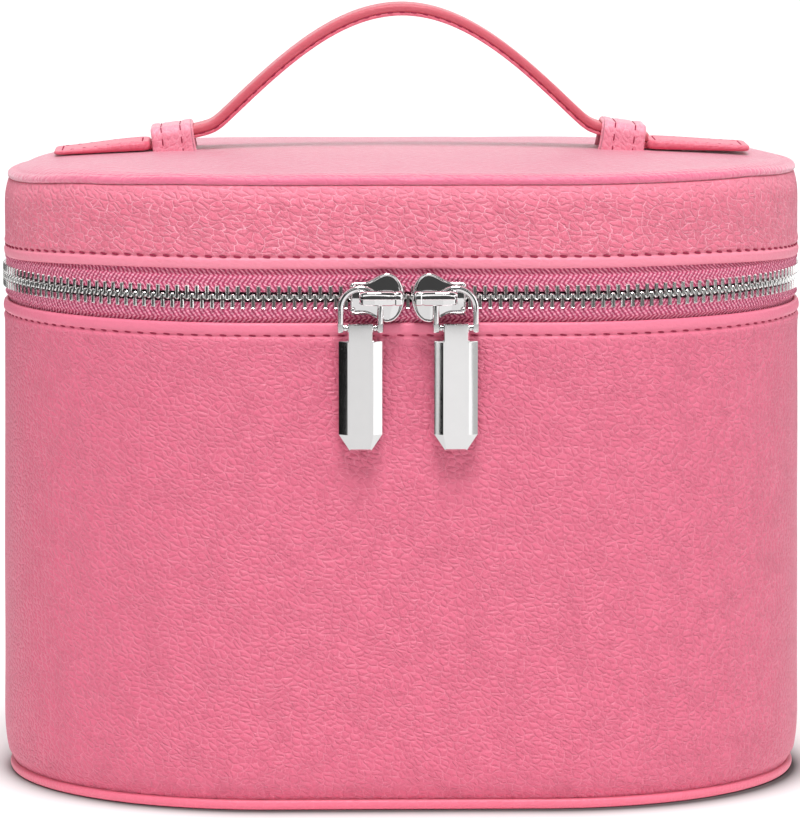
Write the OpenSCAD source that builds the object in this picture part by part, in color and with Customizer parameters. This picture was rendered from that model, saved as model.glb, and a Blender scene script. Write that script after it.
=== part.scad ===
// Makeup train case: a stadium-shaped leather body, a zipped lid hinged at the back, two zip sliders
// with swinging pulls, and a strap handle whose ends slide through two loops on the lid.
// The origin is the centre of the footprint on the floor. +Z is up, the front faces -Y.

/* [Case] */
// Length of the case, left to right
case_length = 229; // [200:1:260]
// Depth of the case, front to back
case_depth = 152; // [130:1:170]
// Height of the body's top rim
rim_height = 136.9; // [110:0.1:170]
// Height of the rolled edge round the base panel
base_edge = 3; // [2.6:0.1:4]
// How far the wall tucks in at its bottom edge
wall_tuck = 1.8; // [0:0.1:3]
// Height over which the wall tucks in
tuck_height = 17; // [10:1:30]

/* [Lid] */
// Gap between the body's rim and the lid's edge, which the zip fills
zip_gap = 14.3; // [14:0.1:18]
// Height of the lid's leather band
band_height = 23.7; // [18:0.1:50]
// Height of the rolled edge round the top panel
panel_edge = 2.1; // [1.8:0.1:3]
// How far the padded top panel rises above its edge
crown_rise = 3; // [1:0.1:6]
// How far the lid opens
lid_opening = 105; // [60:5:110]

/* [Layers] */
// Thickness of the outer leather
leather = 1.5; // [1.3:0.1:1.8]
// Thickness of the stiffening board
board = 1.5; // [1.2:0.1:2]
// Thickness of the fabric lining
lining = 0.6; // [0.4:0.1:0.8]
// Thickness of the boards in the base and in the lid's top
flat_board = 2; // [1.5:0.1:3]

/* [Zip] */
// Distance between neighbouring teeth of one row
tooth_pitch = 2.85; // [2.6:0.05:3.4]
// Height of the two rows of teeth together
chain_height = 6.6; // [6:0.1:7.4]
// Thickness of a tooth, from the inside of the case to the outside
tooth_depth = 2.6; // [2.4:0.1:2.8]
// Width of a tooth along the zip
tooth_width = 1.3; // [1:0.1:1.6]
// Thickness of the woven tape
tape = 0.8; // [0.6:0.1:0.9]
// How far the tape is sewn in behind the leather
tape_hem = 8; // [5:0.5:10]

/* [Slider] */
// Length of a slider
slider_length = 15; // [13:0.5:17]
// Height of a slider at its head
head_height = 13.8; // [12:0.1:13.8]
// Height of a slider at its tail
tail_height = 8.8; // [7:0.1:10]
// Gap between the two slider heads when the case is shut
head_gap = 2; // [1:0.5:6]
// Travel of each slider along the straight front
slider_travel = 24; // [5:1:24]

/* [Pull] */
// Distance of a pull's centre from its slider's head
pull_offset = 12.2; // [12:0.1:12.6]
// Outer width of the wire bail
bail_width = 12.8; // [12:0.1:13.4]
// Diameter of the bail's wire
wire = 1.8; // [1.4:0.1:1.8]
// Length of the tab
tab_length = 35.1; // [25:0.1:45]
// Width of the tab
tab_width = 12; // [10:0.5:14]
// Thickness of the tab
tab_depth = 2.6; // [2:0.1:2.8]
// Width of the tab's neck
neck_width = 7; // [6:0.1:7]

/* [Handle] */
// Height of the strap's highest point above the top panel's edge
handle_rise = 44.4; // [35:0.1:60]
// Distance from the centre to each loop's outer side
loop_reach = 71; // [60:0.5:74]
// Width of each loop along the strap
loop_width = 13.4; // [10:0.1:16]
// Width of the strap
strap_width = 16; // [12:0.5:20]
// Thickness of the strap's padded top layer
strap_pad = 2.4; // [2:0.1:2.6]
// Thickness of the strap's backing layer
strap_backing = 0.9; // [0.6:0.1:1]
// Width of the strap's ends, which stop it at the loops
end_width = 22; // [20:0.5:26]
// Length of each strap end
end_length = 28.5; // [20:0.5:30]
// How far each strap end slides out
strap_travel = 10; // [4:0.5:10]

/* [Hidden] */
$fn = 96;

pink = [0.91, 0.45, 0.57];
dark_pink = [0.84, 0.38, 0.52];
lining_pink = [0.93, 0.62, 0.70];
grey_board = [0.72, 0.70, 0.66];
white_foam = [0.95, 0.95, 0.92];
silver = [0.80, 0.80, 0.82];

clear = 0.3;                                   // air gap between pieces that move past each other
wall_r = case_depth / 2;                       // radius of the round ends
end_x = (case_length - case_depth) / 2;        // half length of the straight front and back
leather_in = wall_r - leather;
board_in = leather_in - board;
lining_in = board_in - lining;
lid_edge = rim_height + zip_gap;
seam_z = lid_edge + band_height;               // seam between the lid's band and its top panel
panel_z = seam_z + panel_edge;
chain_z = rim_height + zip_gap / 2;
base_leather = 1.4;
panel_leather = 1.4;
floor_z = base_leather + flat_board;
tuck_steps = 6;
hem_roll = 0.6;
row_gap = 0.6;                                 // each row of teeth stays this far from the zip's centre line
tape_edge = 1.6;                               // and each tape this far
tape_out = wall_r - 0.5;                       // outer face of the tape beside the teeth
tooth_out = wall_r + 0.4;
tooth_in = tooth_out - tooth_depth;
hinge_y = wall_r + 0.5;
flap_half = 36;
flap_overlap = 9;                              // how far the flap is sewn onto the body and onto the lid

plate = 1.5;                                   // thickness of a slider's front plate
plate_in = tooth_out + clear;
plate_out = plate_in + plate;
back_plate = 1.3;
wire_y = plate_out + 0.2 + wire / 2;           // how far the bail and the pin stand off the centre
bail_top = chain_z + 3.55;
bail_r = (bail_width - wire) / 2;
bail_pivot_z = bail_top - wire / 2;
pin_z = bail_pivot_z - 10.9;
pin_r = 0.65;
pull_x = head_gap / 2 + pull_offset;
neck_top = 1.2;                                // height of the neck above the pin
shoulder = 3.6;                                // how far the tab's shoulders lie below the pin
tab_bevel = 2.4;
tab_bevel_depth = 1;

arch_base_z = panel_z + 1.2;                   // height from which the arch rises
arch_height = handle_rise - 1.2;
arch_foot = 65;                                // distance from the centre to the foot of the arch
arch_power = 1.1;                              // below 1 a fuller arch, above 1 a sharper one
loop_leather = 1.5;
loop_mouth = loop_reach - loop_width;          // where the strap goes into a loop
strap_in_loop_z = panel_z + 10.4;              // the strap's top surface at the loop's mouth
loop_rise = 0.22;                              // the strap and the loop's top rise by this much towards the centre
tongue = 0.9;                                  // thickness of the strap end where it lies under the strap

// Height of the top panel's surface at a distance from the middle line of the lid
function crown_z(r) = panel_z + crown_rise * (1 - (r / wall_r) ^ 2);

// How far the wall tucks in at a height: straight steps along a parabola, the same for every layer
function tuck(z) = let (
        step = max(0, tuck_height + base_edge - z) / tuck_height * tuck_steps,
        whole = floor(step)
    ) wall_tuck / tuck_steps ^ 2 * (whole ^ 2 + (step - whole) * (2 * whole + 1));

// Outline of one wall layer from a height to a height, following the tuck at the bottom
function layer(r_out, r_in, z_low, z_high) = let (
        steps = [for (i = [0:tuck_steps]) base_edge + i * tuck_height / tuck_steps],
        heights = concat([z_low], [for (z = steps) if (z > z_low + 0.1) z]),
        last = len(heights) - 1
    ) concat(
        [for (z = heights) [r_out - tuck(z), z]],
        [[r_out, z_high], [r_in, z_high]],
        [for (i = [last:-1:0]) [r_in - tuck(heights[i]), heights[i]]]
    );

// Top surface of the handle's strap at a distance from the centre: an arch that runs smoothly into the
// straight stretch inside each loop
function strap_top(x) = let (
        arch = arch_base_z + arch_height * max(0, cos(90 * min(abs(x), arch_foot) / arch_foot)) ^ arch_power,
        straight = strap_in_loop_z - loop_rise * (abs(x) - loop_mouth)
    ) (arch + straight) / 2 + sqrt(((arch - straight) / 2) ^ 2 + 0.36);

// A band swept round the case: points are [distance from the middle line, height]
module stadium_sweep(points) {
    for (side = [-1, 1]) {
        translate([side * end_x, 0, 0])
            rotate([0, 0, -90 * side])
                rotate_extrude(angle = 180)
                    polygon(points);
        mirror([0, side < 0 ? 1 : 0, 0])
            translate([-end_x, 0, 0])
                rotate([90, 0, 90])
                    linear_extrude(2 * end_x)
                        polygon(points);
    }
}

// A full slab with straight sides, in the case's outline
module stadium_slab(r, z_low, z_high) {
    stadium_sweep([[0, z_low], [r, z_low], [r, z_high], [0, z_high]]);
}

// Places a child, drawn with +X pointing out of the case, at a distance along the zip from the front's centre
module along_zip(distance) {
    side = distance < 0 ? -1 : 1;
    past_front = abs(distance) - end_x;
    turn = past_front * 180 / (PI * tape_out);
    if (past_front <= 0)
        translate([distance, 0, 0]) rotate([0, 0, -90]) children();
    else if (turn <= 180)
        translate([side * end_x, 0, 0]) rotate([0, 0, side * turn - 90]) children();
    else
        translate([side * (end_x - past_front + PI * tape_out), 0, 0]) rotate([0, 0, 90]) children();
}

// ---- Body ----

module body_wall() {
    color(pink)
        difference() {
            stadium_sweep(layer(wall_r, leather_in, base_edge, rim_height));
            // rounds off the folded hem at the rim
            stadium_sweep([[wall_r - hem_roll, rim_height + 1], [wall_r - hem_roll, rim_height],
                [wall_r, rim_height - hem_roll], [wall_r + 1, rim_height - hem_roll],
                [wall_r + 1, rim_height + 1]]);
        }
}

module body_stiffener() {
    step_z = rim_height - tape_hem - 0.2;
    color(grey_board)
        difference() {
            stadium_sweep(layer(leather_in, board_in, base_edge, rim_height - 1.2));
            // rebate for the zip's tape
            stadium_sweep([[leather_in - tape, step_z], [wall_r, step_z],
                [wall_r, rim_height], [leather_in - tape, rim_height]]);
        }
}

module body_lining() {
    color(lining_pink)
        stadium_sweep(layer(board_in, lining_in, floor_z + lining, rim_height - 0.6));
}

module base_panel() {
    edge_r = 1.5;
    edge_out = wall_r - wall_tuck + 0.4;
    seat_r = board_in - wall_tuck - 0.6;
    color(pink)
        stadium_sweep(concat(
            [[0, 0]],
            [for (a = [-90:15:60]) [edge_out - edge_r + edge_r * cos(a), edge_r + edge_r * sin(a)]],
            [[wall_r - wall_tuck, base_edge], [seat_r, base_edge], [seat_r, base_leather],
                [0, base_leather]]
        ));
}

module base_board() {
    color(grey_board)
        stadium_slab(board_in - wall_tuck - 0.6, base_leather, floor_z);
}

module floor_lining() {
    color(lining_pink)
        stadium_slab(lining_in - wall_tuck - 0.1, floor_z, floor_z + lining);
}

// ---- Zip ----

// Outline of the lower tape. The upper one is its mirror image.
function tape_outline() = let (
        hem_out = leather_in,
        flat = 5.5
    ) [[hem_out, rim_height - tape_hem], [hem_out, rim_height + 0.3], [tape_out, chain_z - flat],
        [tape_out, chain_z - tape_edge], [tape_out - tape, chain_z - tape_edge],
        [tape_out - tape, chain_z - flat], [hem_out - tape, rim_height + 0.3],
        [hem_out - tape, rim_height - tape_hem]];

// Outline of one lower tooth, clamped round the tape's edge
function tooth_outline() = let (
        low = chain_z - chain_height / 2,
        high = chain_z - row_gap,
        slack = 0.02
    ) [[tooth_in, low], [tape_out - tape - slack, low], [tape_out - tape - slack, chain_z - tape_edge + slack],
        [tape_out + slack, chain_z - tape_edge + slack], [tape_out + slack, low], [tooth_out, low],
        [tooth_out, high - 0.4], [tooth_out - 0.4, high], [tooth_in + 0.4, high], [tooth_in, high - 0.4]];

// Reflects a lower piece of the zip to make the upper one
module upper_side() {
    translate([0, 0, 2 * chain_z]) mirror([0, 0, 1]) children();
}

module tooth_at(distance, width) {
    along_zip(distance)
        rotate([90, 0, 0])
            linear_extrude(width, center = true)
                polygon(tooth_outline());
}

half_zip = end_x + PI * tape_out + end_x - flap_half;
side_teeth = floor((half_zip - 3) / tooth_pitch);

module lower_zip_tape() {
    color(dark_pink) stadium_sweep(tape_outline());
}

module upper_zip_tape() {
    color(dark_pink) upper_side() stadium_sweep(tape_outline());
}

module lower_zip_teeth() {
    color(silver)
        for (i = [-side_teeth:side_teeth]) tooth_at(i * tooth_pitch, tooth_width);
}

module upper_zip_teeth() {
    color(silver)
        upper_side()
            for (i = [-side_teeth:side_teeth - 1]) tooth_at((i + 0.5) * tooth_pitch, tooth_width);
}

module zip_stops() {
    for (side = [-1, 1]) tooth_at(side * (half_zip - 1), 2);
}

module lower_zip_stops() {
    color(silver) zip_stops();
}

module upper_zip_stops() {
    color(silver) upper_side() zip_stops();
}

// ---- Hinge at the back ----

module hinge_sheet(half_width, z_low, z_high, y_in, thickness) {
    corner = 4;
    translate([0, y_in + thickness, 0])
        rotate([90, 0, 0])
            linear_extrude(thickness)
                union() {
                    translate([-half_width, z_low + corner]) square([2 * half_width, z_high - z_low - 2 * corner]);
                    translate([corner - half_width, z_low]) square([2 * (half_width - corner), z_high - z_low]);
                    for (x = [corner - half_width, half_width - corner], z = [z_low + corner, z_high - corner])
                        translate([x, z]) circle(corner);
                }
}

module hinge_flap() {
    color(pink) hinge_sheet(flap_half, rim_height - flap_overlap, lid_edge + flap_overlap, wall_r, 1);
}

module hinge_lining() {
    color(lining_pink)
        hinge_sheet(flap_half, rim_height - flap_overlap, lid_edge + flap_overlap, lining_in - lining, lining);
}

// ---- Lid ----

module lid_band() {
    color(pink)
        stadium_sweep([[leather_in, lid_edge], [wall_r - hem_roll, lid_edge], [wall_r, lid_edge + hem_roll],
            [wall_r, seam_z], [leather_in, seam_z]]);
}

module lid_band_stiffener() {
    step_z = lid_edge + tape_hem + 0.2;
    color(grey_board)
        stadium_sweep([[board_in, lid_edge + 1.2], [leather_in - tape, lid_edge + 1.2], [leather_in - tape, step_z],
            [leather_in, step_z], [leather_in, seam_z - flat_board], [board_in, seam_z - flat_board]]);
}

module lid_side_lining() {
    color(lining_pink)
        stadium_sweep([[lining_in, lid_edge + 0.6], [board_in, lid_edge + 0.6],
            [board_in, seam_z - flat_board - lining], [lining_in, seam_z - flat_board - lining]]);
}

module lid_top_lining() {
    color(lining_pink) stadium_slab(board_in, seam_z - flat_board - lining, seam_z - flat_board);
}

module lid_board() {
    color(grey_board) stadium_slab(leather_in, seam_z - flat_board, seam_z);
}

pad_r = wall_r - 4;

module lid_foam() {
    color(white_foam)
        stadium_sweep(concat(
            [[0, seam_z], [pad_r, seam_z]],
            [for (i = [8:-1:0]) [pad_r * i / 8, crown_z(pad_r * i / 8) - panel_leather]]
        ));
}

module lid_panel() {
    edge_r = panel_edge / 2;
    edge_x = wall_r + 0.3 - edge_r;
    color(pink)
        stadium_sweep(concat(
            [for (i = [0:8]) [pad_r * i / 8, crown_z(pad_r * i / 8) - panel_leather]],
            [[pad_r, seam_z]],
            [for (a = [-90:15:90]) [edge_x + edge_r * cos(a), seam_z + edge_r + edge_r * sin(a)]],
            [for (i = [8:-1:0]) [pad_r * i / 8, crown_z(pad_r * i / 8)]]
        ));
}

// ---- Handle ----

// Everything under the top panel's surface
module lid_solid() {
    stadium_sweep(concat(
        [[0, seam_z - 5], [pad_r, seam_z - 5]],
        [for (i = [8:-1:0]) [pad_r * i / 8, crown_z(pad_r * i / 8)]]
    ));
}

module strap_loop() {
    outer_y = strap_width / 2 + 2;
    mid_x = loop_reach - loop_width / 2;
    top_z = strap_in_loop_z - loop_rise * loop_width / 2 + loop_leather + 0.55;
    difference() {
        translate([mid_x, 0, top_z])
            rotate([0, atan(loop_rise), 0])
                rotate([90, 0, 90])
                    linear_extrude(loop_width, center = true)
                        union() {
                            translate([-outer_y, -16]) square([2 * outer_y, 13]);
                            translate([3 - outer_y, -16]) square([2 * (outer_y - 3), 16]);
                            for (y = [3 - outer_y, outer_y - 3]) translate([y, -3]) circle(3);
                        }
        // the tunnel for the strap
        translate([mid_x, 0, top_z])
            rotate([0, atan(loop_rise), 0])
                rotate([90, 0, 90])
                    linear_extrude(2 * loop_width, center = true)
                        union() {
                            translate([loop_leather - outer_y, -20]) square([2 * (outer_y - loop_leather), 17]);
                            translate([3 - outer_y, -20]) square([2 * (outer_y - 3), 20 - loop_leather]);
                            for (y = [3 - outer_y, outer_y - 3]) translate([y, -3]) circle(3 - loop_leather);
                        }
        lid_solid();
    }
}

module left_strap_loop() {
    color(pink) mirror([1, 0, 0]) strap_loop();
}

module right_strap_loop() {
    color(pink) strap_loop();
}

// One layer of the strap, between two depths below its top surface
module strap_layer(depth_high, depth_low, width) {
    steps = 56;
    reach = loop_reach + 0.1;
    places = [for (i = [-steps / 2:steps / 2]) reach * 2 * i / steps];
    // the layers are stacked at right angles to the strap's own slope
    function slope(x) = atan(strap_top(x + 0.5) - strap_top(x - 0.5));
    function below(x, depth) = [x + depth * sin(slope(x)), strap_top(x) - depth * cos(slope(x))];
    rotate([90, 0, 0])
        linear_extrude(width, center = true)
            polygon(concat(
                [for (x = places) below(x, depth_high)],
                [for (i = [steps:-1:0]) below(places[i], depth_low)]
            ));
}

module handle_strap() {
    color(pink) strap_layer(0, strap_pad, strap_width);
}

module handle_strap_backing() {
    color(dark_pink) strap_layer(strap_pad, strap_pad + strap_backing, strap_width - 0.8);
}

module strap_end() {
    corner = 3;
    thickness = 2.6;
    inner_x = loop_reach + clear;
    outer_x = inner_x + end_length;
    lift = clear + 0.1;
    tilt = atan((crown_z(inner_x - end_x) - crown_z(outer_x - end_x)) / end_length);
    translate([inner_x, 0, crown_z(inner_x - end_x) + lift])
        rotate([0, tilt, 0])
            linear_extrude(thickness)
                union() {
                    translate([corner, -end_width / 2]) square([end_length - 2 * corner, end_width]);
                    translate([0, corner - end_width / 2]) square([end_length, end_width - 2 * corner]);
                    for (x = [corner, end_length - corner], side = [-1, 1])
                        translate([x, side * (end_width / 2 - corner)]) circle(corner);
                }
    // the thin tongue runs into the loop under the strap
    tongue_in = loop_reach - strap_travel - 1;
    tongue_z = crown_z(tongue_in - end_x) + lift;
    translate([tongue_in, -strap_width / 2 + 0.2, tongue_z - 0.1])
        cube([inner_x - tongue_in + 1, strap_width - 0.4, tongue]);
}

module left_strap_end() {
    color(pink) mirror([1, 0, 0]) strap_end();
}

module right_strap_end() {
    color(pink) strap_end();
}

// ---- Sliders and pulls: each is drawn for the right side, with its head towards the centre ----

// Half height of the slider's outline at a distance from its head's tip
function slider_half(t) = let (
        nose = 4.7,
        waist = 11.5
    ) t < nose ? head_height / 2 * sqrt(max(0, 1 - (1 - t / nose) ^ 2))
    : t < waist ? tail_height / 2 + (head_height - tail_height) / 4 * (1 + cos(180 * (t - nose) / (waist - nose)))
    : tail_height / 2;

// The slider's outline, scaled in height
module slider_outline(height_scale) {
    nose_steps = [0, 0.1, 0.35, 0.8, 1.5, 2.4, 3.5, 4.7];
    side_steps = [for (i = [1:6]) 4.7 + i * 6.8 / 6];
    steps = concat(nose_steps, side_steps, [slider_length]);
    start = head_gap / 2;
    polygon(concat(
        [for (t = steps) [start + t, height_scale * slider_half(t)]],
        [for (i = [len(steps) - 1:-1:1]) [start + steps[i], -height_scale * slider_half(steps[i])]]
    ));
}

// Turns a drawing in the X-Z plane into a plate between two distances in front of the case's middle line
module front_plate(y_near, y_far) {
    translate([0, -y_near, chain_z])
        rotate([90, 0, 0])
            linear_extrude(y_far - y_near)
                children();
}

module slider_body() {
    start = head_gap / 2;
    union() {
        front_plate(plate_in, plate_out) slider_outline(1);
        front_plate(tooth_in - clear - back_plate, tooth_in - clear) slider_outline(0.78);
        // the wedge that parts the two rows of teeth
        front_plate(tooth_in - clear, plate_in)
            polygon([[start + 0.8, 0], [start + 2.6, 0.3], [start + 5, 0], [start + 2.6, -0.3]]);
        // the lip that runs along the lower row of teeth
        front_plate(tape_out + clear, plate_in)
            translate([start + 6.5, -chain_height / 2 - 1.5]) square([slider_length - 6.5, 1.1]);
    }
}

module slider_crown() {
    bar_low = chain_z - 1.75;
    bar_high = chain_z + 2.15;
    near = plate_out;
    start = head_gap / 2 + 0.7;
    length = 11.8;
    foot = 1.9;
    bar_in_high = wire_y + wire / 2 + 0.45;
    bar_in_low = bar_in_high + 1.75;
    bar_out = bar_in_low + 0.8;
    // the bar's inner face slopes, so the bail can swing out behind it
    translate([start, 0, 0])
        rotate([90, 0, 90])
            linear_extrude(length)
                polygon([[-bar_in_high, bar_high], [0.6 - bar_out, bar_high], [-bar_out, bar_high - 0.6],
                    [-bar_out, bar_low + 0.5], [0.3 - bar_out, bar_low], [-bar_in_low, bar_low]]);
    for (x = [start, start + length - foot])
        translate([x, -bar_in_low - 0.4, chain_z - 1.2]) cube([foot, bar_in_low + 0.4 - near, 2.2]);
}

module bail() {
    tip = 2.4;
    difference() {
        union() {
            translate([pull_x, -wire_y, bail_top - wire / 2 - bail_r])
                rotate([90, 0, 0])
                    rotate_extrude(angle = 180)
                        translate([bail_r, 0]) circle(wire / 2);
            for (side = [-1, 1]) {
                translate([pull_x + side * bail_r, -wire_y, pin_z + 0.8])
                    cylinder(h = bail_top - wire / 2 - bail_r - pin_z - 0.8, r = wire / 2);
                // flattened tip that holds the pin
                translate([pull_x + side * bail_r - wire / 2, -wire_y - wire / 2, pin_z - tip / 2])
                    cube([wire, wire, tip]);
            }
        }
        translate([pull_x - bail_width, -wire_y, pin_z])
            rotate([0, 90, 0]) cylinder(h = 2 * bail_width, r = pin_r);
    }
}

module pull_pin() {
    translate([pull_x - bail_width / 2, -wire_y, pin_z])
        rotate([0, 90, 0]) cylinder(h = bail_width, r = pin_r);
}

module pull_tab() {
    half = tab_width / 2;
    bottom = tab_length - neck_top;
    difference() {
        intersection() {
            translate([pull_x, -wire_y + tab_depth / 2, pin_z])
                rotate([90, 0, 0])
                    linear_extrude(tab_depth)
                        polygon([[-neck_width / 2, neck_top], [neck_width / 2, neck_top],
                            [neck_width / 2, -shoulder], [half, -shoulder], [half, -bottom + 4.4],
                            [half - 3, -bottom], [3 - half, -bottom], [-half, -bottom + 4.4],
                            [-half, -shoulder], [-neck_width / 2, -shoulder]]);
            // bevels down both long sides
            translate([pull_x, -wire_y, pin_z - bottom - 1])
                linear_extrude(bottom + neck_top + 2)
                    polygon([[-half, tab_depth / 2], [half, tab_depth / 2],
                        [half, tab_bevel_depth - tab_depth / 2], [half - tab_bevel, -tab_depth / 2],
                        [tab_bevel - half, -tab_depth / 2], [-half, tab_bevel_depth - tab_depth / 2]]);
        }
        translate([pull_x - tab_width, -wire_y, pin_z])
            rotate([0, 90, 0]) cylinder(h = 2 * tab_width, r = pin_r + 0.08);
    }
}

module left_slider_body() {
    color(silver) mirror([1, 0, 0]) slider_body();
}

module left_slider_crown() {
    color(silver) mirror([1, 0, 0]) slider_crown();
}

module left_bail() {
    color(silver) mirror([1, 0, 0]) bail();
}

module left_pull_pin() {
    color(silver) mirror([1, 0, 0]) pull_pin();
}

module left_pull_tab() {
    color(silver) mirror([1, 0, 0]) pull_tab();
}

module right_slider_body() {
    color(silver) slider_body();
}

module right_slider_crown() {
    color(silver) slider_crown();
}

module right_bail() {
    color(silver) bail();
}

module right_pull_pin() {
    color(silver) pull_pin();
}

module right_pull_tab() {
    color(silver) pull_tab();
}

body_wall();
body_stiffener();
body_lining();
base_panel();
base_board();
floor_lining();
lower_zip_tape();
lower_zip_teeth();
lower_zip_stops();
hinge_flap();
hinge_lining();
lid_band();
lid_band_stiffener();
lid_side_lining();
lid_top_lining();
lid_board();
lid_foam();
lid_panel();
upper_zip_tape();
upper_zip_teeth();
upper_zip_stops();
left_strap_loop();
right_strap_loop();
handle_strap();
handle_strap_backing();
left_strap_end();
right_strap_end();
left_slider_body();
left_slider_crown();
left_bail();
left_pull_pin();
left_pull_tab();
right_slider_body();
right_slider_crown();
right_bail();
right_pull_pin();
right_pull_tab();
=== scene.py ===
import math

import bmesh
import bpy
import numpy as np
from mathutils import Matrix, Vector


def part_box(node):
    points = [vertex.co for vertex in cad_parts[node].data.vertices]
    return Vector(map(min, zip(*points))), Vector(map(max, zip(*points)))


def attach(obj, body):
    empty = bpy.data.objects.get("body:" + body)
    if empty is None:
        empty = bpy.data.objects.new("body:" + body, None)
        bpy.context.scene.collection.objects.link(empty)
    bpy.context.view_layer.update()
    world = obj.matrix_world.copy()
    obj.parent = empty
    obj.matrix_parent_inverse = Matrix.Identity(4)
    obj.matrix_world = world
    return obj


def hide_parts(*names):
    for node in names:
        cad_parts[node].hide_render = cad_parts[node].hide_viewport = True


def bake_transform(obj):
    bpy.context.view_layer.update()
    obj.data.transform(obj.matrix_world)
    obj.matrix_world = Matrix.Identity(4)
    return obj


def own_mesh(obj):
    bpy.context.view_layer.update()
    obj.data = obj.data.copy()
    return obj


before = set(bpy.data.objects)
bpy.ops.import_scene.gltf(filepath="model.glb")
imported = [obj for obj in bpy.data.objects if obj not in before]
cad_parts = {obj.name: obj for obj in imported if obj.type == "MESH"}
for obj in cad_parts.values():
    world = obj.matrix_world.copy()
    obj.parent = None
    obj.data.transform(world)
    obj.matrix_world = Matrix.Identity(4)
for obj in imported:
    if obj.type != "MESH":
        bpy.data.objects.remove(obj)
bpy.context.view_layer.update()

# Lengths below are in millimetres, in the row frame. They become metres as a mesh is made.
MM = 0.001


def box_mm(node):
    low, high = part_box(node)
    return np.array(low) / MM, np.array(high) / MM


WALL_LOW, WALL_HIGH = box_mm("body_wall")
BAND_LOW, BAND_HIGH = box_mm("lid_band")
PANEL_HIGH = box_mm("lid_panel")[1]
WALL_R = WALL_HIGH[1]
END_X = WALL_HIGH[0] - WALL_R
BASE_Z = WALL_LOW[2]
RIM_Z = WALL_HIGH[2]
LID_EDGE = BAND_LOW[2]
SEAM_Z = BAND_HIGH[2]
CHAIN_Z = (RIM_Z + LID_EDGE) / 2
CROWN_RISE = 3.0
PANEL_Z = PANEL_HIGH[2] - CROWN_RISE
LEATHER = 1.5
LEATHER_IN = WALL_R - LEATHER
BOARD_IN = LEATHER_IN - 1.5
LINING_IN = BOARD_IN - 0.6
TAPE_OUT = WALL_R - 0.5
TAPE_THICK = 0.8
TOOTH_OUT = WALL_R + 0.4
TOOTH_PITCH = 2.85
PLATE_IN = TOOTH_OUT + 0.3
PLATE_OUT = PLATE_IN + 1.5
WIRE = 1.8
WIRE_Y = PLATE_OUT + 0.2 + WIRE / 2
TOOTH_BACK = TOOTH_OUT - 2.6
STITCH = 4.1
STITCH_SLANT = 0.16
# how far the wall's foot is drawn in, and over what height
TUCK, TUCK_HEIGHT = 1.8, 17.0
# half the width of the hinge's flap and cloth, and how far they reach past the zip
FLAP_HALF, FLAP_REACH = 36.0, 9.0
# columns of faces round the case
COLUMNS, COARSE_COLUMNS, TAPE_COLUMNS = 616, 308, 1332


def add_object(name, data):
    obj = bpy.data.objects.new(name, data)
    bpy.context.scene.collection.objects.link(obj)
    return obj


def aim(obj, direction, axis="-Z"):
    """Turns an object so that one of its axes points in a direction."""
    obj.rotation_mode = "QUATERNION"
    obj.rotation_quaternion = direction.to_track_quat(axis, "Y")


# ---------------------------------------------------------------- camera

def make_camera():
    data = bpy.data.cameras.new("camera")
    data.lens = 260.0
    data.sensor_width = 36.0
    data.clip_start, data.clip_end = 0.05, 60.0
    cam = add_object("camera", data)
    yaw, pitch = 0.02328, math.radians(6.85)
    cam.location = (-0.040, -1.6995, 0.308)
    aim(cam, Vector((math.sin(yaw) * math.cos(pitch), math.cos(yaw) * math.cos(pitch), -math.sin(pitch))))
    bpy.context.scene.camera = cam


make_camera()


# ---------------------------------------------------------------- node materials

class Maker:
    """A material's node tree, with short calls to add nodes and maths."""

    def __init__(self, name):
        self.material = bpy.data.materials.new(name)
        self.material.use_nodes = True
        self.tree = self.material.node_tree
        self.shader = next(n for n in self.tree.nodes if n.type == "BSDF_PRINCIPLED")

    def put(self, socket, value):
        if isinstance(value, bpy.types.NodeSocket):
            self.tree.links.new(value, socket)
        elif isinstance(value, (tuple, list)) and len(value) == 3 and socket.type == "RGBA":
            socket.default_value = (*value, 1.0)
        else:
            socket.default_value = value

    def node(self, kind, inputs=(), out=0, **settings):
        n = self.tree.nodes.new(kind)
        for key, value in settings.items():
            setattr(n, key, value)
        for key, value in dict(inputs).items():
            self.put(n.inputs[key], value)
        return n.outputs[out]

    def math(self, operation, a, b=0.0, c=0.0):
        return self.node("ShaderNodeMath", {0: a, 1: b, 2: c}, operation=operation)

    def plus(self, a, b):
        return self.math("ADD", a, b)

    def minus(self, a, b):
        return self.math("SUBTRACT", a, b)

    def times(self, a, b):
        return self.math("MULTIPLY", a, b)

    def times_plus(self, a, b, c):
        return self.math("MULTIPLY_ADD", a, b, c)

    def vector(self, operation, a, b):
        return self.node("ShaderNodeVectorMath", {0: a, 1: b}, operation=operation)

    def part(self, vector, i):
        return self.node("ShaderNodeSeparateXYZ", {0: vector}, i)

    def hide(self):
        """Millimetres along and across the hide, and how far its grain is flattened and lightened by a
        painted highlight, from 0 to 1.
        """
        return self.node("ShaderNodeAttribute", out=1, attribute_name="hide")

    def step(self, value, low, high):
        """0 below low, 1 above high, smooth between."""
        return self.node(
            "ShaderNodeMapRange", {0: value, 1: low, 2: high, 3: 0.0, 4: 1.0}, interpolation_type="SMOOTHSTEP"
        )

    def noise(self, where, scale, detail=3.0, rough=0.5, out=0):
        return self.node(
            "ShaderNodeTexNoise", {"Vector": where, "Scale": scale, "Detail": detail, "Roughness": rough}, out
        )

    def mix(self, share, a, b):
        n = self.tree.nodes.new("ShaderNodeMix")
        n.data_type = "RGBA"
        self.put(n.inputs[0], share)
        self.put(n.inputs[6], a)
        self.put(n.inputs[7], b)
        return n.outputs[2]

    def bump(self, height, depth_mm):
        settings = {"Height": height, "Distance": depth_mm * MM, "Strength": 1.0}
        normal = self.node("ShaderNodeBump", settings)
        self.put(self.shader.inputs["Normal"], normal)

    def surface(self, **values):
        for key, value in values.items():
            self.put(self.shader.inputs[key.replace("_", " ")], value)
        return self.material


# the grain runs a little downhill to the right
SLANT = 0.28


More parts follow.
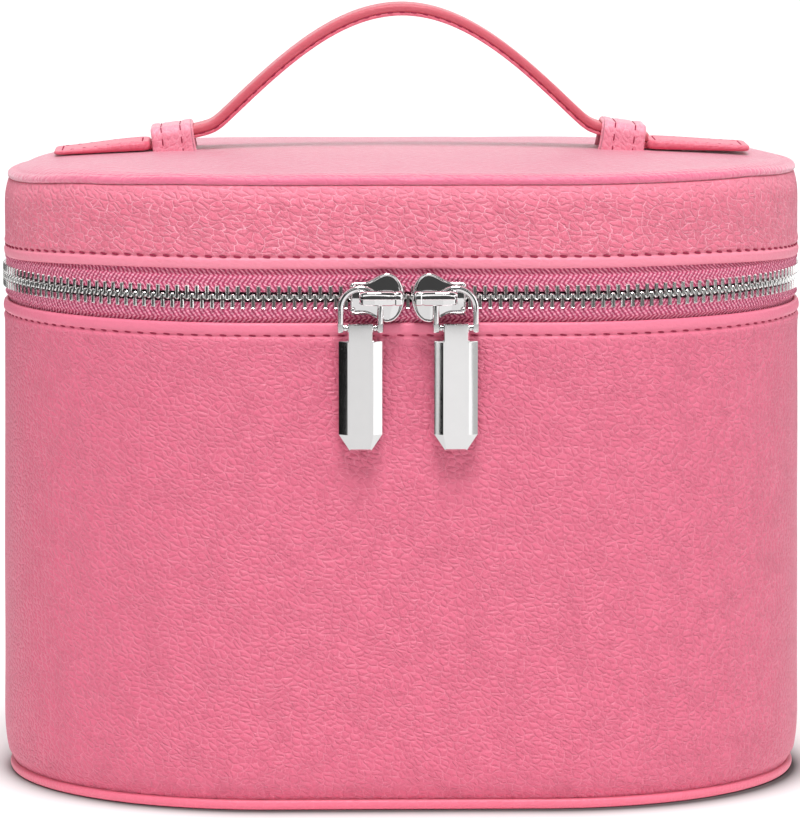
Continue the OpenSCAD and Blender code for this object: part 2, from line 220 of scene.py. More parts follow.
def cracks(m, where, wide, high, warp, seed):
    """Distance to the nearest edge of irregular cells, wide by high millimetres, 0 on an edge."""
    def jitter(scale, amount):
        offset = m.vector("SUBTRACT", m.noise(where, scale, 1.0, out=1), (0.5, 0.5, 0.5))
        return m.vector("MULTIPLY", offset, amount)

    drift = m.vector("ADD", jitter(0.42, (warp, warp * 0.8, 0)), jitter(0.06, (4, 4, 0)))
    place = m.vector("ADD", where, drift)
    along = m.part(place, 0)
    across = m.times_plus(along, SLANT, m.part(place, 1))
    place = m.node("ShaderNodeCombineXYZ", {0: along, 1: across})
    place = m.vector("MULTIPLY", place, (1 / wide, 1 / high, 0))
    place = m.vector("ADD", place, (seed, seed * 0.7, 0))
    return m.node(
        "ShaderNodeTexVoronoi",
        {"Vector": place, "Scale": 1.0, "Randomness": 0.9},
        voronoi_dimensions="2D",
        feature="DISTANCE_TO_EDGE",
    )


def leather(name, colour, light, wide, high, depth, crease_and_highlight_share, warp=1.6, roughness=0.46, sheen=0.04):
    """Pebbled leather. wide, high and depth are the pebbles' size and relief in millimetres, light is the
    colour in the creases, partly their own paler colour and partly a painted highlight on the pebbles' edges,
    and crease_and_highlight_share is how much of it shows."""
    m = Maker(name)
    hide = m.hide()
    pressed_and_lit = m.part(hide, 2)
    where = m.vector("MULTIPLY", hide, (1, 1, 0))
    open_grain = m.minus(1.0, m.times(pressed_and_lit, 0.85))
    big = cracks(m, where, wide, high, warp, 0.0)
    small = cracks(m, where, wide * 0.46, high * 0.5, warp * 0.6, 3.7)
    zone = m.step(m.noise(where, 0.12, 1.0), 0.4, 0.6)
    pebble = m.math("POWER", m.step(big, -0.25, 0.42), 1.4)
    crumb = m.step(small, 0.0, 0.2)
    crumb_depth = m.times_plus(zone, 0.16, 0.14)
    pore = m.noise(where, 2.6, 3.0, 0.6)
    height = m.plus(pebble, m.times(crumb, crumb_depth))
    height = m.times(height, open_grain)
    height = m.times_plus(pore, 0.12, height)
    height = m.times_plus(m.noise(where, 0.16, 1.0), 0.2, height)
    # painted highlight: the creases are coloured paler, partly their own colour and partly for light caught
    # on the pebbles' edges
    line = m.minus(1.0, m.step(big, 0.0, 0.07))
    thin = m.minus(1.0, m.step(small, 0.0, 0.07))
    crease_and_highlight = m.math("MAXIMUM", line, m.times(thin, 0.35))
    patchy = m.times_plus(m.step(m.noise(where, 0.35, 2.0), 0.38, 0.62), 0.75, 0.25)
    crease_and_highlight = m.times(m.times(crease_and_highlight, crease_and_highlight_share), m.times(open_grain, patchy))
    # painted highlight: where the grain is flattened (the hem rolls, the band's top) the leather is coloured
    # lighter
    crease_and_highlight = m.times_plus(pressed_and_lit, 0.22, crease_and_highlight)
    blotch = m.step(m.noise(where, 0.05, 3.0, 0.6), 0.3, 0.7)
    deep = tuple(c * k for c, k in zip(colour, (0.99, 0.97, 0.975)))
    tint = m.mix(blotch, deep, colour)
    tint = m.mix(crease_and_highlight, tint, light)
    m.bump(height, depth)
    rough = m.times_plus(pore, 0.16, roughness - 0.08)
    return m.surface(Base_Color=tint, Roughness=rough, Specular_IOR_Level=0.5, Sheen_Weight=sheen)


PINK = (0.69, 0.123, 0.216)
# the crease colour: partly the creases' own paler pink, partly a painted highlight on the pebbles' edges
PINK_CREASE_AND_HIGHLIGHT = (0.86, 0.30, 0.40)

LEATHER_BODY = leather("leather_body", PINK, PINK_CREASE_AND_HIGHLIGHT, 2.3, 1.6, 0.42, 0.50)
# painted light: the band's leather is a lighter copy of the body's, with paler creases, for the stronger
# light on the case's upper part
LEATHER_BAND_PAINTED_LIGHT = leather("leather_band_painted_light", (0.74, 0.148, 0.235), (0.97, 0.48, 0.58), 3.0, 1.75, 0.55, 0.75,
                       warp=2.0, sheen=0.05)
# painted sheen: a little bluer than the body's leather, for the bluish tint of the sheen on the lid's top
LEATHER_TOP = leather("leather_top", (0.70, 0.128, 0.24), PINK_CREASE_AND_HIGHLIGHT, 3.4, 2.4, 0.18, 0.12,
                      roughness=0.40, sheen=0.62)
# painted light: a lighter copy of the body's leather, for the light bounced from the floor into the base's
# rolled edge
LEATHER_BASE_PAINTED_LIGHT = leather("leather_base_painted_light", (0.76, 0.145, 0.23), PINK_CREASE_AND_HIGHLIGHT, 2.2, 1.7, 0.08, 0.20,
                       warp=1.2, sheen=0.1)
# painted light: a much lighter copy of the body's leather, for the light on the loops' upper and front faces
LEATHER_LOOP_PAINTED_LIGHT = leather("leather_loop_painted_light", (0.84, 0.28, 0.375), (0.95, 0.54, 0.63), 2.1, 1.6, 0.15, 0.5,
                       warp=1.2, sheen=0.4)
LEATHER_SMALL = leather("leather_small", (0.72, 0.135, 0.20), PINK_CREASE_AND_HIGHLIGHT, 2.2, 1.7, 0.12, 0.25,
                        warp=1.2, sheen=0.1)
LEATHER_STRAP = leather("leather_strap", (0.56, 0.092, 0.125), PINK_CREASE_AND_HIGHLIGHT, 2.4, 2.0, 0.05, 0.10, warp=1.2)


def thread_and_hole_shade_material():
    m = Maker("thread")
    where = m.node("ShaderNodeTexCoord", out=3)
    twist = m.noise(where, 2600.0, 2.0, 0.6)
    m.bump(twist, 0.05)
    # painted shade: the thread is coloured dark crimson for the shade in the sunk stitch holes, not only for
    # the thread's own colour
    tint = m.mix(twist, (0.22, 0.012, 0.045), (0.40, 0.035, 0.085))
    return m.surface(Base_Color=tint, Roughness=0.75, Specular_IOR_Level=0.2)


def tape_material():
    """A knitted tape: slanting ribs whose slant turns over in rows, each broken into short loops."""
    m = Maker("zip_tape_weave")
    where = m.hide()
    along, across = m.part(where, 0), m.part(where, 1)
    wobble = m.times(m.minus(m.noise(where, 0.9, 2.0), 0.5), 3.0)
    row = m.math("PINGPONG", across, 2.3)
    slanted = m.plus(m.times(along, 4.6), m.times_plus(row, 3.5, wobble))
    rib = m.times_plus(m.math("SINE", slanted), 0.5, 0.5)
    link = m.plus(m.times(along, -2.3), m.times_plus(across, 6.2, wobble))
    loop = m.times_plus(m.math("SINE", link), 0.5, 0.5)
    knit = m.times(m.math("POWER", rib, 0.8), m.times_plus(loop, 0.6, 0.4))
    fuzz = m.noise(where, 5.0, 3.0, 0.7)
    height = m.times_plus(fuzz, 0.2, knit)
    m.bump(height, 0.5)
    # painted shade and highlight: the tape's pink is coloured dark crimson in the knit's gaps and light on
    # its ribs, following the relief
    level = m.times_plus(m.minus(fuzz, 0.5), 0.5, knit)
    tint = m.mix(m.step(level, 0.05, 0.8), (0.47, 0.04, 0.12), (0.97, 0.38, 0.52))
    return m.surface(Base_Color=tint, Roughness=0.62, Specular_IOR_Level=0.2, Sheen_Weight=0.08)


def metal_material(name, colour, roughness, scratch):
    m = Maker(name)
    where = m.node("ShaderNodeTexCoord", out=3)
    cloud = m.noise(where, 220.0, 4.0, 0.6)
    stretched = m.vector("MULTIPLY", where, (1.0, 1.0, 0.12))
    hair = m.noise(stretched, 9000.0, 2.0, 0.7)
    m.bump(m.times_plus(hair, 0.25, cloud), scratch)
    dark = tuple(c * 0.93 for c in colour)
    rough = m.times_plus(cloud, 0.05, roughness)
    return m.surface(Base_Color=m.mix(cloud, dark, colour), Metallic=1.0, Roughness=rough)


def fabric_material(name, colour, pitch, depth):
    m = Maker(name)
    where = m.hide()
    k = math.pi / pitch
    warp, weft = (m.math("ABSOLUTE", m.math("SINE", m.times(m.part(where, i), k))) for i in (0, 1))
    weave = m.math("MAXIMUM", warp, weft)
    cloud = m.noise(where, 0.4, 3.0, 0.6)
    dark = tuple(c * 0.8 for c in colour)
    share = m.times_plus(weave, 0.5, m.times(cloud, 0.5))
    m.bump(m.times_plus(cloud, 0.3, weave), depth)
    return m.surface(Base_Color=m.mix(share, dark, colour), Roughness=0.8, Sheen_Weight=0.2)


def plain_material(name, colour, scale, roughness, depth):
    m = Maker(name)
    where = m.node("ShaderNodeTexCoord", out=3)
    grain = m.noise(where, scale, 5.0, 0.65)
    dark = tuple(c * 0.82 for c in colour)
    m.bump(grain, depth)
    return m.surface(Base_Color=m.mix(grain, dark, colour), Roughness=roughness)


THREAD_AND_HOLE_SHADE = thread_and_hole_shade_material()
TAPE = tape_material()
CHROME = metal_material("pull_chrome", (0.88, 0.865, 0.865), 0.03, 0.0004)
ZIP_BRIGHT = metal_material("zip_bright", (0.86, 0.85, 0.84), 0.16, 0.01)
ZIP_DARK = metal_material("zip_dark", (0.20, 0.19, 0.185), 0.28, 0.02)
LINING = fabric_material("lining_cloth", (0.74, 0.27, 0.36), 0.7, 0.08)
BOARD = plain_material("board", (0.52, 0.48, 0.42), 900.0, 0.9, 0.1)
FOAM = plain_material("foam", (0.80, 0.80, 0.76), 1800.0, 0.95, 0.3)


# ---------------------------------------------------------------- mesh helpers

def grid_faces(nu, nv, wrap_v=False):
    a, b = np.meshgrid(np.arange(nu - 1), np.arange(nv if wrap_v else nv - 1), indexing="ij")
    a2, b2 = a + 1, (b + 1) % nv
    return np.stack([a * nv + b, a2 * nv + b, a2 * nv + b2, a * nv + b2], -1).reshape(-1, 4)


def tube_faces(rings, n):
    """A tube of rings of n points each, closed at both ends."""
    last = (rings - 1) * n
    return grid_faces(rings, n, wrap_v=True).tolist() + [list(range(n)), list(range(last, last + n))]


def slab_faces(m, n):
    """Two grids of m rows of n points each, one behind the other, joined round the edge."""
    back = m * n
    edges = [(i * n + j, (i + 1) * n + j) for i in range(m - 1) for j in (0, n - 1)]
    edges += [(i * n + j, i * n + j + 1) for j in range(n - 1) for i in (0, m - 1)]
    faces = grid_faces(m, n).tolist() + (grid_faces(m, n) + back)[:, ::-1].tolist()
    return faces + [[a, b, b + back, a + back] for a, b in edges]


def unit(vectors):
    return vectors / np.linalg.norm(vectors, axis=1)[:, None]


def piece(name, verts, faces, materials, body=None, slot=None, replaces=(), hide=None, face_material=None,
          smooth=True, merge=False):
    """A mesh object from points in millimetres. hide holds each point's place on the unrolled leather."""
    mesh = bpy.data.meshes.new(name)
    mesh.from_pydata((np.asarray(verts, float) * MM).tolist(), [], [list(map(int, f)) for f in faces])
    materials = materials if isinstance(materials, (list, tuple)) else [materials]
    for material in materials:
        mesh.materials.append(material)
    if face_material is not None:
        mesh.polygons.foreach_set("material_index", np.asarray(face_material, np.int32))
    if hide is not None:
        attribute = mesh.attributes.new("hide", "FLOAT_VECTOR", "POINT")
        attribute.data.foreach_set("vector", np.asarray(hide, np.float32).ravel())
    work = bmesh.new()
    work.from_mesh(mesh)
    if merge:
        bmesh.ops.remove_doubles(work, verts=work.verts, dist=1e-6)
        bmesh.ops.dissolve_degenerate(work, edges=work.edges, dist=1e-7)
    bmesh.ops.recalc_face_normals(work, faces=work.faces)
    work.to_mesh(mesh)
    work.free()
    mesh.polygons.foreach_set("use_smooth", [smooth] * len(mesh.polygons))
    obj = add_object(name, mesh)
    if replaces:
        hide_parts(*replaces)
    if body:
        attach(obj, body)
    return obj


def sharpen(obj, degrees):
    """Edges steeper than this stay sharp under smooth shading."""
    work = bmesh.new()
    work.from_mesh(obj.data)
    limit = math.radians(degrees)
    for edge in work.edges:
        if len(edge.link_faces) == 2 and edge.calc_face_angle(0.0) > limit:
            edge.smooth = False
    work.to_mesh(obj.data)
    work.free()


def path(s, turn_r=WALL_R):
    """Middle-line x and outward normal at a distance along the case's outline from the front's centre."""
    s = np.asarray(s, float)
    far, side = np.abs(s), np.where(s < 0, -1.0, 1.0)
    arc = math.pi * turn_r
    turn = np.clip((far - END_X) / turn_r, 0, math.pi)
    x = np.where(far < END_X, far, np.where(far < END_X + arc, END_X, 2 * END_X + arc - far))
    return side * x, side * np.sin(turn), -np.cos(turn)


def outline_length(turn_r=WALL_R):
    return 4 * END_X + 2 * math.pi * turn_r


def arc_length(rho, z):
    return np.concatenate([[0], np.cumsum(np.hypot(np.diff(rho), np.diff(z)))])


def sweep(name, rho, z, materials, columns, shape=None, turn_r=WALL_R, flat_hide=False, pressed_and_lit=None,
          **options):
    """A closed profile (distance from the middle line, height) taken round the case. shape(s, rho, z)
    returns what it adds to both, and pressed(rho, z) how far the grain is flattened and lightened by a
    painted highlight. The two ends meet at the centre of the back."""
    rho, z = np.asarray(rho, float), np.asarray(z, float)
    half = outline_length(turn_r) / 2
    s = np.linspace(-half, half, columns + 1)
    x, nx, ny = path(s, turn_r)
    grid_s, grid_rho = np.meshgrid(s, rho, indexing="ij")
    grid_z = np.broadcast_to(z, grid_s.shape)
    add_rho, add_z = shape(grid_s, grid_rho, grid_z) if shape else (0.0, 0.0)
    out = grid_rho + add_rho
    points = np.stack([x[:, None] + nx[:, None] * out, ny[:, None] * out, grid_z + add_z], -1)
    along = np.broadcast_to(arc_length(rho, z), grid_s.shape)
    flat = pressed_and_lit(grid_rho, grid_z) if pressed_and_lit else 0 * along
    if flat_hide:
        hide = np.stack([x[:, None] + nx[:, None] * along, ny[:, None] * along, flat], -1)
    else:
        hide = np.stack([grid_s, along, flat], -1)
    faces = grid_faces(columns + 1, len(rho), wrap_v=rho[0] > 0 or rho[-1] > 0)
    return piece(name, points.reshape(-1, 3), faces, materials, hide=hide.reshape(-1, 3), **options)


def capsules(name, centres, along, out, length, radius, body):
    """A row of stitches: short rounded bars, bowed so that their ends go down into the leather."""
    centres, along, out = (np.asarray(a, float) for a in (centres, along, out))
    along, out = unit(along), unit(out)
    across = np.cross(along, out)
    half, sink = length / 2, 0.5
    rings = [(-half, 0.25), (-half + 0.25 * radius, 0.7), (-half + radius, 1.0), (0, 1.05),
             (half - radius, 1.0), (half - 0.25 * radius, 0.7), (half, 0.25)]
    sides = 8
    turns = np.arange(sides) * 2 * math.pi / sides
    local = np.array([
        (x, r * radius * math.cos(t), r * radius * math.sin(t) - sink * radius * (x / half) ** 2)
        for x, r in rings for t in turns
    ])
    points = (centres[:, None] + local[None, :, :1] * along[:, None]
              + local[None, :, 1:2] * across[:, None] + local[None, :, 2:3] * out[:, None])
    one = tube_faces(len(rings), sides)
    faces = [[i * len(local) + j for j in f] for i in range(len(centres)) for f in one]
    return piece(name, points.reshape(-1, 3), faces, THREAD_AND_HOLE_SHADE, body=body, slot="pink_leather")


def round_stitches(name, rho, z, body, length=2.1, radius=0.26, dz=None):
    """Stitches round the case at one distance from the middle line and one height."""
    count = round(outline_length() / STITCH)
    s = (np.arange(count) + 0.5 - count / 2) * outline_length() / count
    x, nx, ny = path(s)
    up = z + (dz(s) if dz else 0.0)
    centres = np.stack([x + nx * rho, ny * rho, up + 0 * s], -1)
    out = np.stack([nx, ny, 0 * s], -1)
    along = np.stack([-ny, nx, 0 * s - STITCH_SLANT], -1)
    capsules(name, centres, along, out, length, radius, body)


def bell(x, width):
    return np.exp(-((x / width) ** 2))


def ramp(x, low, high):
    t = np.clip((x - low) / (high - low), 0, 1)
    return t * t * (3 - 2 * t)


def uneven(s, z, size):
    """Slow unevenness of stretched leather, the same at both ends of the outline."""
    k = 2 * math.pi / outline_length()
    return size * (
        np.sin(7 * k * s + 0.05 * z) * np.sin(0.045 * z + 1.0)
        + 0.6 * np.sin(17 * k * s - 0.08 * z + 2.0)
        + 0.4 * np.sin(29 * k * s + 0.13 * z + 0.7)
    )


def hem(s, from_stitch):
    """Relief beside a stitched hem: from_stitch is positive towards the folded edge."""
    beat = 0.5 - 0.5 * np.cos(2 * math.pi * s / STITCH)
    groove = -0.40 * bell(from_stitch, 0.50)
    hole = -0.22 * bell(from_stitch, 0.45) * beat
    roll = 0.32 * np.sin(math.pi * np.clip(from_stitch / 3.4, 0, 1) ** 0.8)
    pucker = 0.22 * bell(from_stitch + 1.3, 0.9) * (1 - beat)
    return groove + hole + roll + pucker


def back_seam(s):
    """The dent where the leather's two ends meet, at the centre of the back."""
    return 0.5 * bell(outline_length() / 2 - np.abs(s), 0.7)


# ---------------------------------------------------------------- body

def wall_tuck(z):
    return TUCK * (np.clip(BASE_Z + TUCK_HEIGHT - z, 0, None) / TUCK_HEIGHT) ** 2.7


def make_wall():
    edge = LEATHER / 2
    outer_z = np.concatenate([
        [BASE_Z - 0.3, BASE_Z + 0.1, BASE_Z + 0.6, BASE_Z + 1.8],
        np.arange(BASE_Z + 3, RIM_Z - 10, 1.5),
        np.arange(RIM_Z - 9.5, RIM_Z - 6, 0.7),
        np.arange(RIM_Z - 5.6, RIM_Z - edge - 0.1, 0.27),
    ])
    outer = WALL_R - wall_tuck(outer_z)
    outer[0] -= 0.25
    outer[1] -= 0.05
    turn = np.linspace(0, math.pi, 9)
    rho = np.concatenate([outer, WALL_R - edge + edge * np.cos(turn), [LEATHER_IN, LEATHER_IN - 1.8]])
    z = np.concatenate([outer_z, RIM_Z - edge + edge * np.sin(turn), [BASE_Z + 20, BASE_Z + 0.3]])
    stitch_z = RIM_Z - 3.5

    def shape(s, r, h):
        outside = ramp(r, LEATHER_IN - 0.2, LEATHER_IN + 0.5)
        out = hem(s, h - stitch_z) * ramp(h, RIM_Z - 8, RIM_Z - 5)
        out = out + 0.95 * np.clip(1 - h / 125, 0, 1)
        middle = ramp(h, BASE_Z, BASE_Z + 12) * (1 - ramp(h, RIM_Z - 12, RIM_Z - 4))
        out = out + uneven(s, h, 0.04) * middle - back_seam(s)
        return out * outside * (h < RIM_Z - 0.2), 0.0

    # the grain is flattened by the hem, and the hem's roll gets a painted highlight
    def pressed_and_lit(r, h):
        return ramp(h, stitch_z - 3.0, stitch_z + 0.6)

    sweep("case_wall", rho, z, LEATHER_BODY, COLUMNS, shape, pressed_and_lit=pressed_and_lit,
          body="case", slot="pink_leather", replaces=["body_wall"])
    round_stitches("case_hem_stitches", WALL_R - 0.42, stitch_z, "case")


make_wall()


def make_base():
    """The leather under the case and the rolled edge that shows round its foot."""
    edge_r = 1.5
    edge_out = WALL_R - TUCK + 1.1
    turn = np.radians(np.linspace(-90, 78, 13))
    rho = np.concatenate([
        [0.0, 20, 45, 65, 70],
        edge_out - edge_r + edge_r * np.cos(turn),
        [edge_out - edge_r - 0.2, 70, 70, 45, 0.0],
    ])
    z = np.concatenate([
        [0.35, 0.35, 0.35, 0.3, 0.12],
        edge_r + edge_r * np.sign(turn) * np.abs(np.sin(turn)) ** np.where(turn > 0, 0.7, 1.0),
        [BASE_Z - 0.35, BASE_Z - 0.4, 1.3, 1.3, 1.3],
    ])
    sweep("case_base", rho, z, LEATHER_BASE_PAINTED_LIGHT, COARSE_COLUMNS, flat_hide=True, merge=True,
          body="case", slot="pink_leather", replaces=["base_panel"])


make_base()


# ---------------------------------------------------------------- lid

def edge_droop(s):
    """The lid's lower edge hangs nearer the zip at the round ends than at the front."""
    turn = np.clip((np.abs(s) - END_X) / WALL_R, 0, math.pi)
    return 0.6 - 2.6 * np.sin(turn) ** 4


def end_droop(s, r):
    """How far the lid's top hangs down towards its two ends."""
    x, nx, _ = path(s)
    x = x + nx * r
    hang = 1.0 * ramp(-x, 60, 90) + 2.4 * ramp(-x, 88, 114.5) + 1.2 * ramp(x, 95, 114.5)
    return hang * ramp(r, 58, WALL_R)


BAND_TOP_IN = 1.2


def make_band():
    edge = LEATHER / 2
    turn = np.linspace(math.pi, 2 * math.pi, 9)
    outer_z = np.concatenate([
        np.arange(LID_EDGE + edge + 0.15, LID_EDGE + 5.6, 0.27),
        np.arange(LID_EDGE + 6.2, SEAM_Z - 5, 0.8),
        np.arange(SEAM_Z - 4.8, SEAM_Z - 0.2, 0.4),
        [SEAM_Z - 0.05],
    ])
    lean = BAND_TOP_IN * (np.clip(outer_z - SEAM_Z + 8.0, 0, None) / 8.0) ** 2.4
    lean[-1] += 0.45
    rho = np.concatenate([WALL_R - edge + edge * np.cos(turn), WALL_R - lean, [LEATHER_IN - 1.2, LEATHER_IN]])
    z = np.concatenate([LID_EDGE + edge + edge * np.sin(turn), outer_z, [SEAM_Z - 0.1, SEAM_Z - 5]])
    stitch_z = LID_EDGE + 3.4

    def shape(s, r, h):
        outside = ramp(r, LEATHER_IN - 0.2, LEATHER_IN + 0.5)
        out = hem(s, stitch_z - h) * (1 - ramp(h, LID_EDGE + 5, LID_EDGE + 8)) * (h > LID_EDGE + 0.2)
        out = out + uneven(s, h + 40, 0.07) * ramp(h, LID_EDGE + 5, LID_EDGE + 9) - back_seam(s)
        up = ramp(h, LID_EDGE, SEAM_Z - 3)
        return (out - 0.25) * outside, edge_droop(s) * (1 - up) - end_droop(s, r) * up

    # the grain is flattened by the hem and at the band's top; both get a painted highlight, at the top for
    # the light on the part that faces up
    def pressed_and_lit(r, h):
        return 1 - ramp(h, stitch_z - 0.6, stitch_z + 1.6) + 0.55 * ramp(h, SEAM_Z - 6, SEAM_Z - 0.5)

    sweep("lid_band_leather", rho, z, LEATHER_BAND_PAINTED_LIGHT, COLUMNS, shape, pressed_and_lit=pressed_and_lit,
          body="lid", slot="pink_leather", replaces=["lid_band"])
    round_stitches("lid_hem_stitches", WALL_R - 0.42, stitch_z, "lid", dz=edge_droop)


make_band()


def crown_z(r):
    return PANEL_Z + CROWN_RISE * (1 - (np.asarray(r) / WALL_R) ** 2)


PANEL_OUT = WALL_R - 1.05
PANEL_STITCH = PANEL_OUT - 2.6


def make_lid_top():
    edge = (PANEL_Z - SEAM_Z) / 2 + 0.12
    inner = np.concatenate([np.linspace(0, 66, 34), np.arange(67, PANEL_OUT - edge, 0.35)])
    turn = np.linspace(math.pi / 2, -math.pi / 2, 11)
    under = np.array([PANEL_OUT - 2.2, 70, 55, 35, 15, 0])
    rho = np.concatenate([inner, PANEL_OUT - edge + edge * np.cos(turn), under])
    z = np.concatenate([crown_z(inner), PANEL_Z - edge + 0.2 + edge * np.sin(turn),
                        [SEAM_Z + 0.1], crown_z(under[1:]) - 1.2])

    def shape(s, r, h):
        top = h > SEAM_Z + 1.3
        from_stitch = r - PANEL_STITCH
        sink = -0.42 * bell(from_stitch, 0.75)
        puff = 0.22 * np.sin(math.pi * np.clip((from_stitch + 7) / 6.3, 0, 1)) ** 2
        slow = uneven(s, r * 1.5, 0.05) * ramp(r, 8, 25)
        return 0.0, np.where(top, sink + puff + slow, 0.0) - end_droop(s, r)

    top = sweep("lid_top_leather", rho, z, LEATHER_TOP, COLUMNS, shape, flat_hide=True, merge=True,
                body="lid", slot="pink_leather", replaces=["lid_panel"])


def make_lid_boards():
    """The stiff boards and the foam under the lid's leather, which follow its hanging ends."""
    def hang(s, r, h):
        return 0.0, -end_droop(s, r) * ramp(h, LID_EDGE + 8, SEAM_Z - 3)

    def layer(name, rho, z, material, slot, node, **options):
        sweep(name, np.concatenate(rho), np.concatenate(z), material, COARSE_COLUMNS, hang,
              body="lid", slot=slot, replaces=[node], **options)

    steps = 14

    def level(value):
        return np.full(steps, value)

    floor_z, pad_r = SEAM_Z - 2.0, WALL_R - 4.0
    edge = LEATHER_IN - 0.8
    flat = np.linspace(0, edge - 0.3, steps)
    layer("lid_board_plate", [flat, [edge, edge], flat[::-1]],
          [level(SEAM_Z), [SEAM_Z - 0.3, floor_z + 0.3], level(floor_z)],
          BOARD, "stiff_board", "lid_board", flat_hide=True, merge=True)
    step_z = CHAIN_Z + 15
    rise = np.linspace(step_z, floor_z - 0.1, steps)
    foot = [BOARD_IN, LEATHER_IN - 0.9, LEATHER_IN - 0.9]
    layer("lid_side_board", [foot, level(LEATHER_IN - 0.05), level(BOARD_IN + 0.02)],
          [[LID_EDGE + 1.2, LID_EDGE + 1.2, step_z], rise, rise[::-1]],
          BOARD, "stiff_board", "lid_band_stiffener")
    pad = np.linspace(0, pad_r, steps)
    layer("lid_foam_pad", [pad, pad[::-1]], [crown_z(pad) - 1.5, level(SEAM_Z + 0.02)],
          FOAM, "foam", "lid_foam", flat_hide=True, merge=True)


make_lid_boards()
make_lid_top()


# ---------------------------------------------------------------- zip

HALF_ZIP = END_X + math.pi * TAPE_OUT + END_X - FLAP_HALF
SIDE_TEETH = int((HALF_ZIP - 3) / TOOTH_PITCH)


def make_tape(name, sign, body, node):
    """sign is -1 for the tape below the chain and 1 for the one above."""
    hem_out = LEATHER_IN
    reach = np.concatenate([[14.8, 11, 8.4, 7.6, 6.9, 6.2], np.arange(5.9, 1.3, -0.3)])
    out = np.where(reach > 6.8, hem_out, TAPE_OUT - (TAPE_OUT - hem_out) * ramp(reach, 5.4, 6.9))
    rho = np.concatenate([out, out[::-1][::3] - TAPE_THICK])
    z = np.concatenate([CHAIN_Z + sign * reach, CHAIN_Z + sign * reach[::-1][::3]])
    shift = 0.5 if sign < 0 else 0.0

    def shape(s, r, h):
        level = np.abs(h - CHAIN_Z)
        outside = r > np.interp(level, reach[::-1], out[::-1]) - 0.4
        beat = np.cos(2 * math.pi * (s / TOOTH_PITCH - shift))
        knot = 0.30 * bell(level - 5.0, 0.42) * ramp(beat, 0.1, 1.0)
        swell = 0.26 * ramp(beat, -0.2, 1.0) * (1 - ramp(level, 2.9, 3.5))
        return np.where(outside, knot + swell, 0.0), 0.0

    sweep(name, rho, z, TAPE, TAPE_COLUMNS, shape, turn_r=TAPE_OUT,
          body=body, slot="zip_tape", replaces=[node])


make_tape("zip_tape_lower", -1, "case", "lower_zip_tape")
make_tape("zip_tape_upper", 1, "lid", "upper_zip_tape")


def make_teeth(name, sign, body, node):
    """A row of teeth. Each is a bar clamped on the tape, with a rounded head past the chain's centre."""
    side = [(0.60, -3.3), (0.62, -2.6), (0.60, -1.3), (0.44, -0.80), (0.70, -0.20), (0.74, 0.25),
            (0.55, 0.70), (0.20, 0.90)]
    outline = np.array(side + [(-a, b) for a, b in reversed(side)])
    centre = np.array([0.0, -1.2])
    inward = outline - centre

    def smaller(distance, width):
        ring = centre + inward * (1 - distance / np.abs(inward).max(axis=1))[:, None]
        ring[:, 0] = outline[:, 0] * width
        return ring

    rings = [(outline, TOOTH_BACK), (outline, TOOTH_OUT - 0.28), (smaller(0.22, 0.62), TOOTH_OUT),
             (smaller(0.34, 0.46), TOOTH_OUT - 0.10)]
    local = np.array([(a, -sign * b, r) for ring, r in rings for a, b in ring])
    one = tube_faces(len(rings), len(outline))
    # the last face, which looks outward, is dark
    kinds = [0] * (len(one) - 1) + [1]
    if sign < 0:
        places = np.arange(-SIDE_TEETH, SIDE_TEETH + 1) * TOOTH_PITCH
    else:
        places = (np.arange(-SIDE_TEETH, SIDE_TEETH) + 0.5) * TOOTH_PITCH
    x, nx, ny = path(places, TAPE_OUT)
    a, b, r = local.T
    px = x[:, None] + nx[:, None] * r - ny[:, None] * a
    py = ny[:, None] * r + nx[:, None] * a
    pz = np.broadcast_to(CHAIN_Z + b, px.shape)
    points = np.stack([px, py, pz], -1).reshape(-1, 3)
    faces = [[i * len(local) + j for j in f] for i in range(len(places)) for f in one]
    piece(name, points, faces, [ZIP_BRIGHT, ZIP_DARK], body=body, slot="zip_metal", replaces=[node],
          face_material=kinds * len(places), smooth=False)


make_teeth("zip_teeth_lower", -1, "case", "lower_zip_teeth")
make_teeth("zip_teeth_upper", 1, "lid", "upper_zip_teeth")


# ---------------------------------------------------------------- sliders and pulls

HEAD_H, TAIL_H, SLIDER_LEN, HEAD_START = 13.8, 8.8, 15.0, 1.0
# where the slider's head is highest, and where its tail begins
NOSE, WAIST = 4.7, 11.5


def slider_half(t):
    t = np.asarray(t, float)
    head = HEAD_H / 2 * np.sqrt(np.clip(1 - (1 - t / NOSE) ** 2, 0, None))
    neck = TAIL_H / 2 + (HEAD_H - TAIL_H) / 4 * (1 + np.cos(math.pi * (t - NOSE) / (WAIST - NOSE)))
    return np.where(t < NOSE, head, np.where(t < WAIST, neck, TAIL_H / 2))


def slider_outline():
    steps = np.concatenate([[0, 0.04, 0.15, 0.35, 0.65, 1.05, 1.5, 2.1, 2.8, 3.6],
                            np.linspace(NOSE, WAIST, 13), [12.4, 13.3, 14.2, 14.6]])
    top = np.stack([HEAD_START + steps, slider_half(steps)], -1)
    end = HEAD_START + SLIDER_LEN
    tail = np.array([[end - 0.12, TAIL_H / 2 - 0.12], [end, TAIL_H / 2 - 0.5], [end, 2.2], [end, 0.0]])
    upper = np.concatenate([top, tail])
    lower = upper[1:-1][::-1] * [1, -1]
    return np.concatenate([upper, lower])


def inset_outline(points, distance):
    """Moves each point of a closed outline inward by a distance."""
    before, after = np.roll(points, 1, 0), np.roll(points, -1, 0)
    a, b = unit(points - before), unit(after - points)
    normal = unit(np.stack([a[:, 1] + b[:, 1], -a[:, 0] - b[:, 0]], -1))
    area = np.sum(points[:, 0] * after[:, 1] - after[:, 0] * points[:, 1])
    return points - normal * distance * (1 if area > 0 else -1)


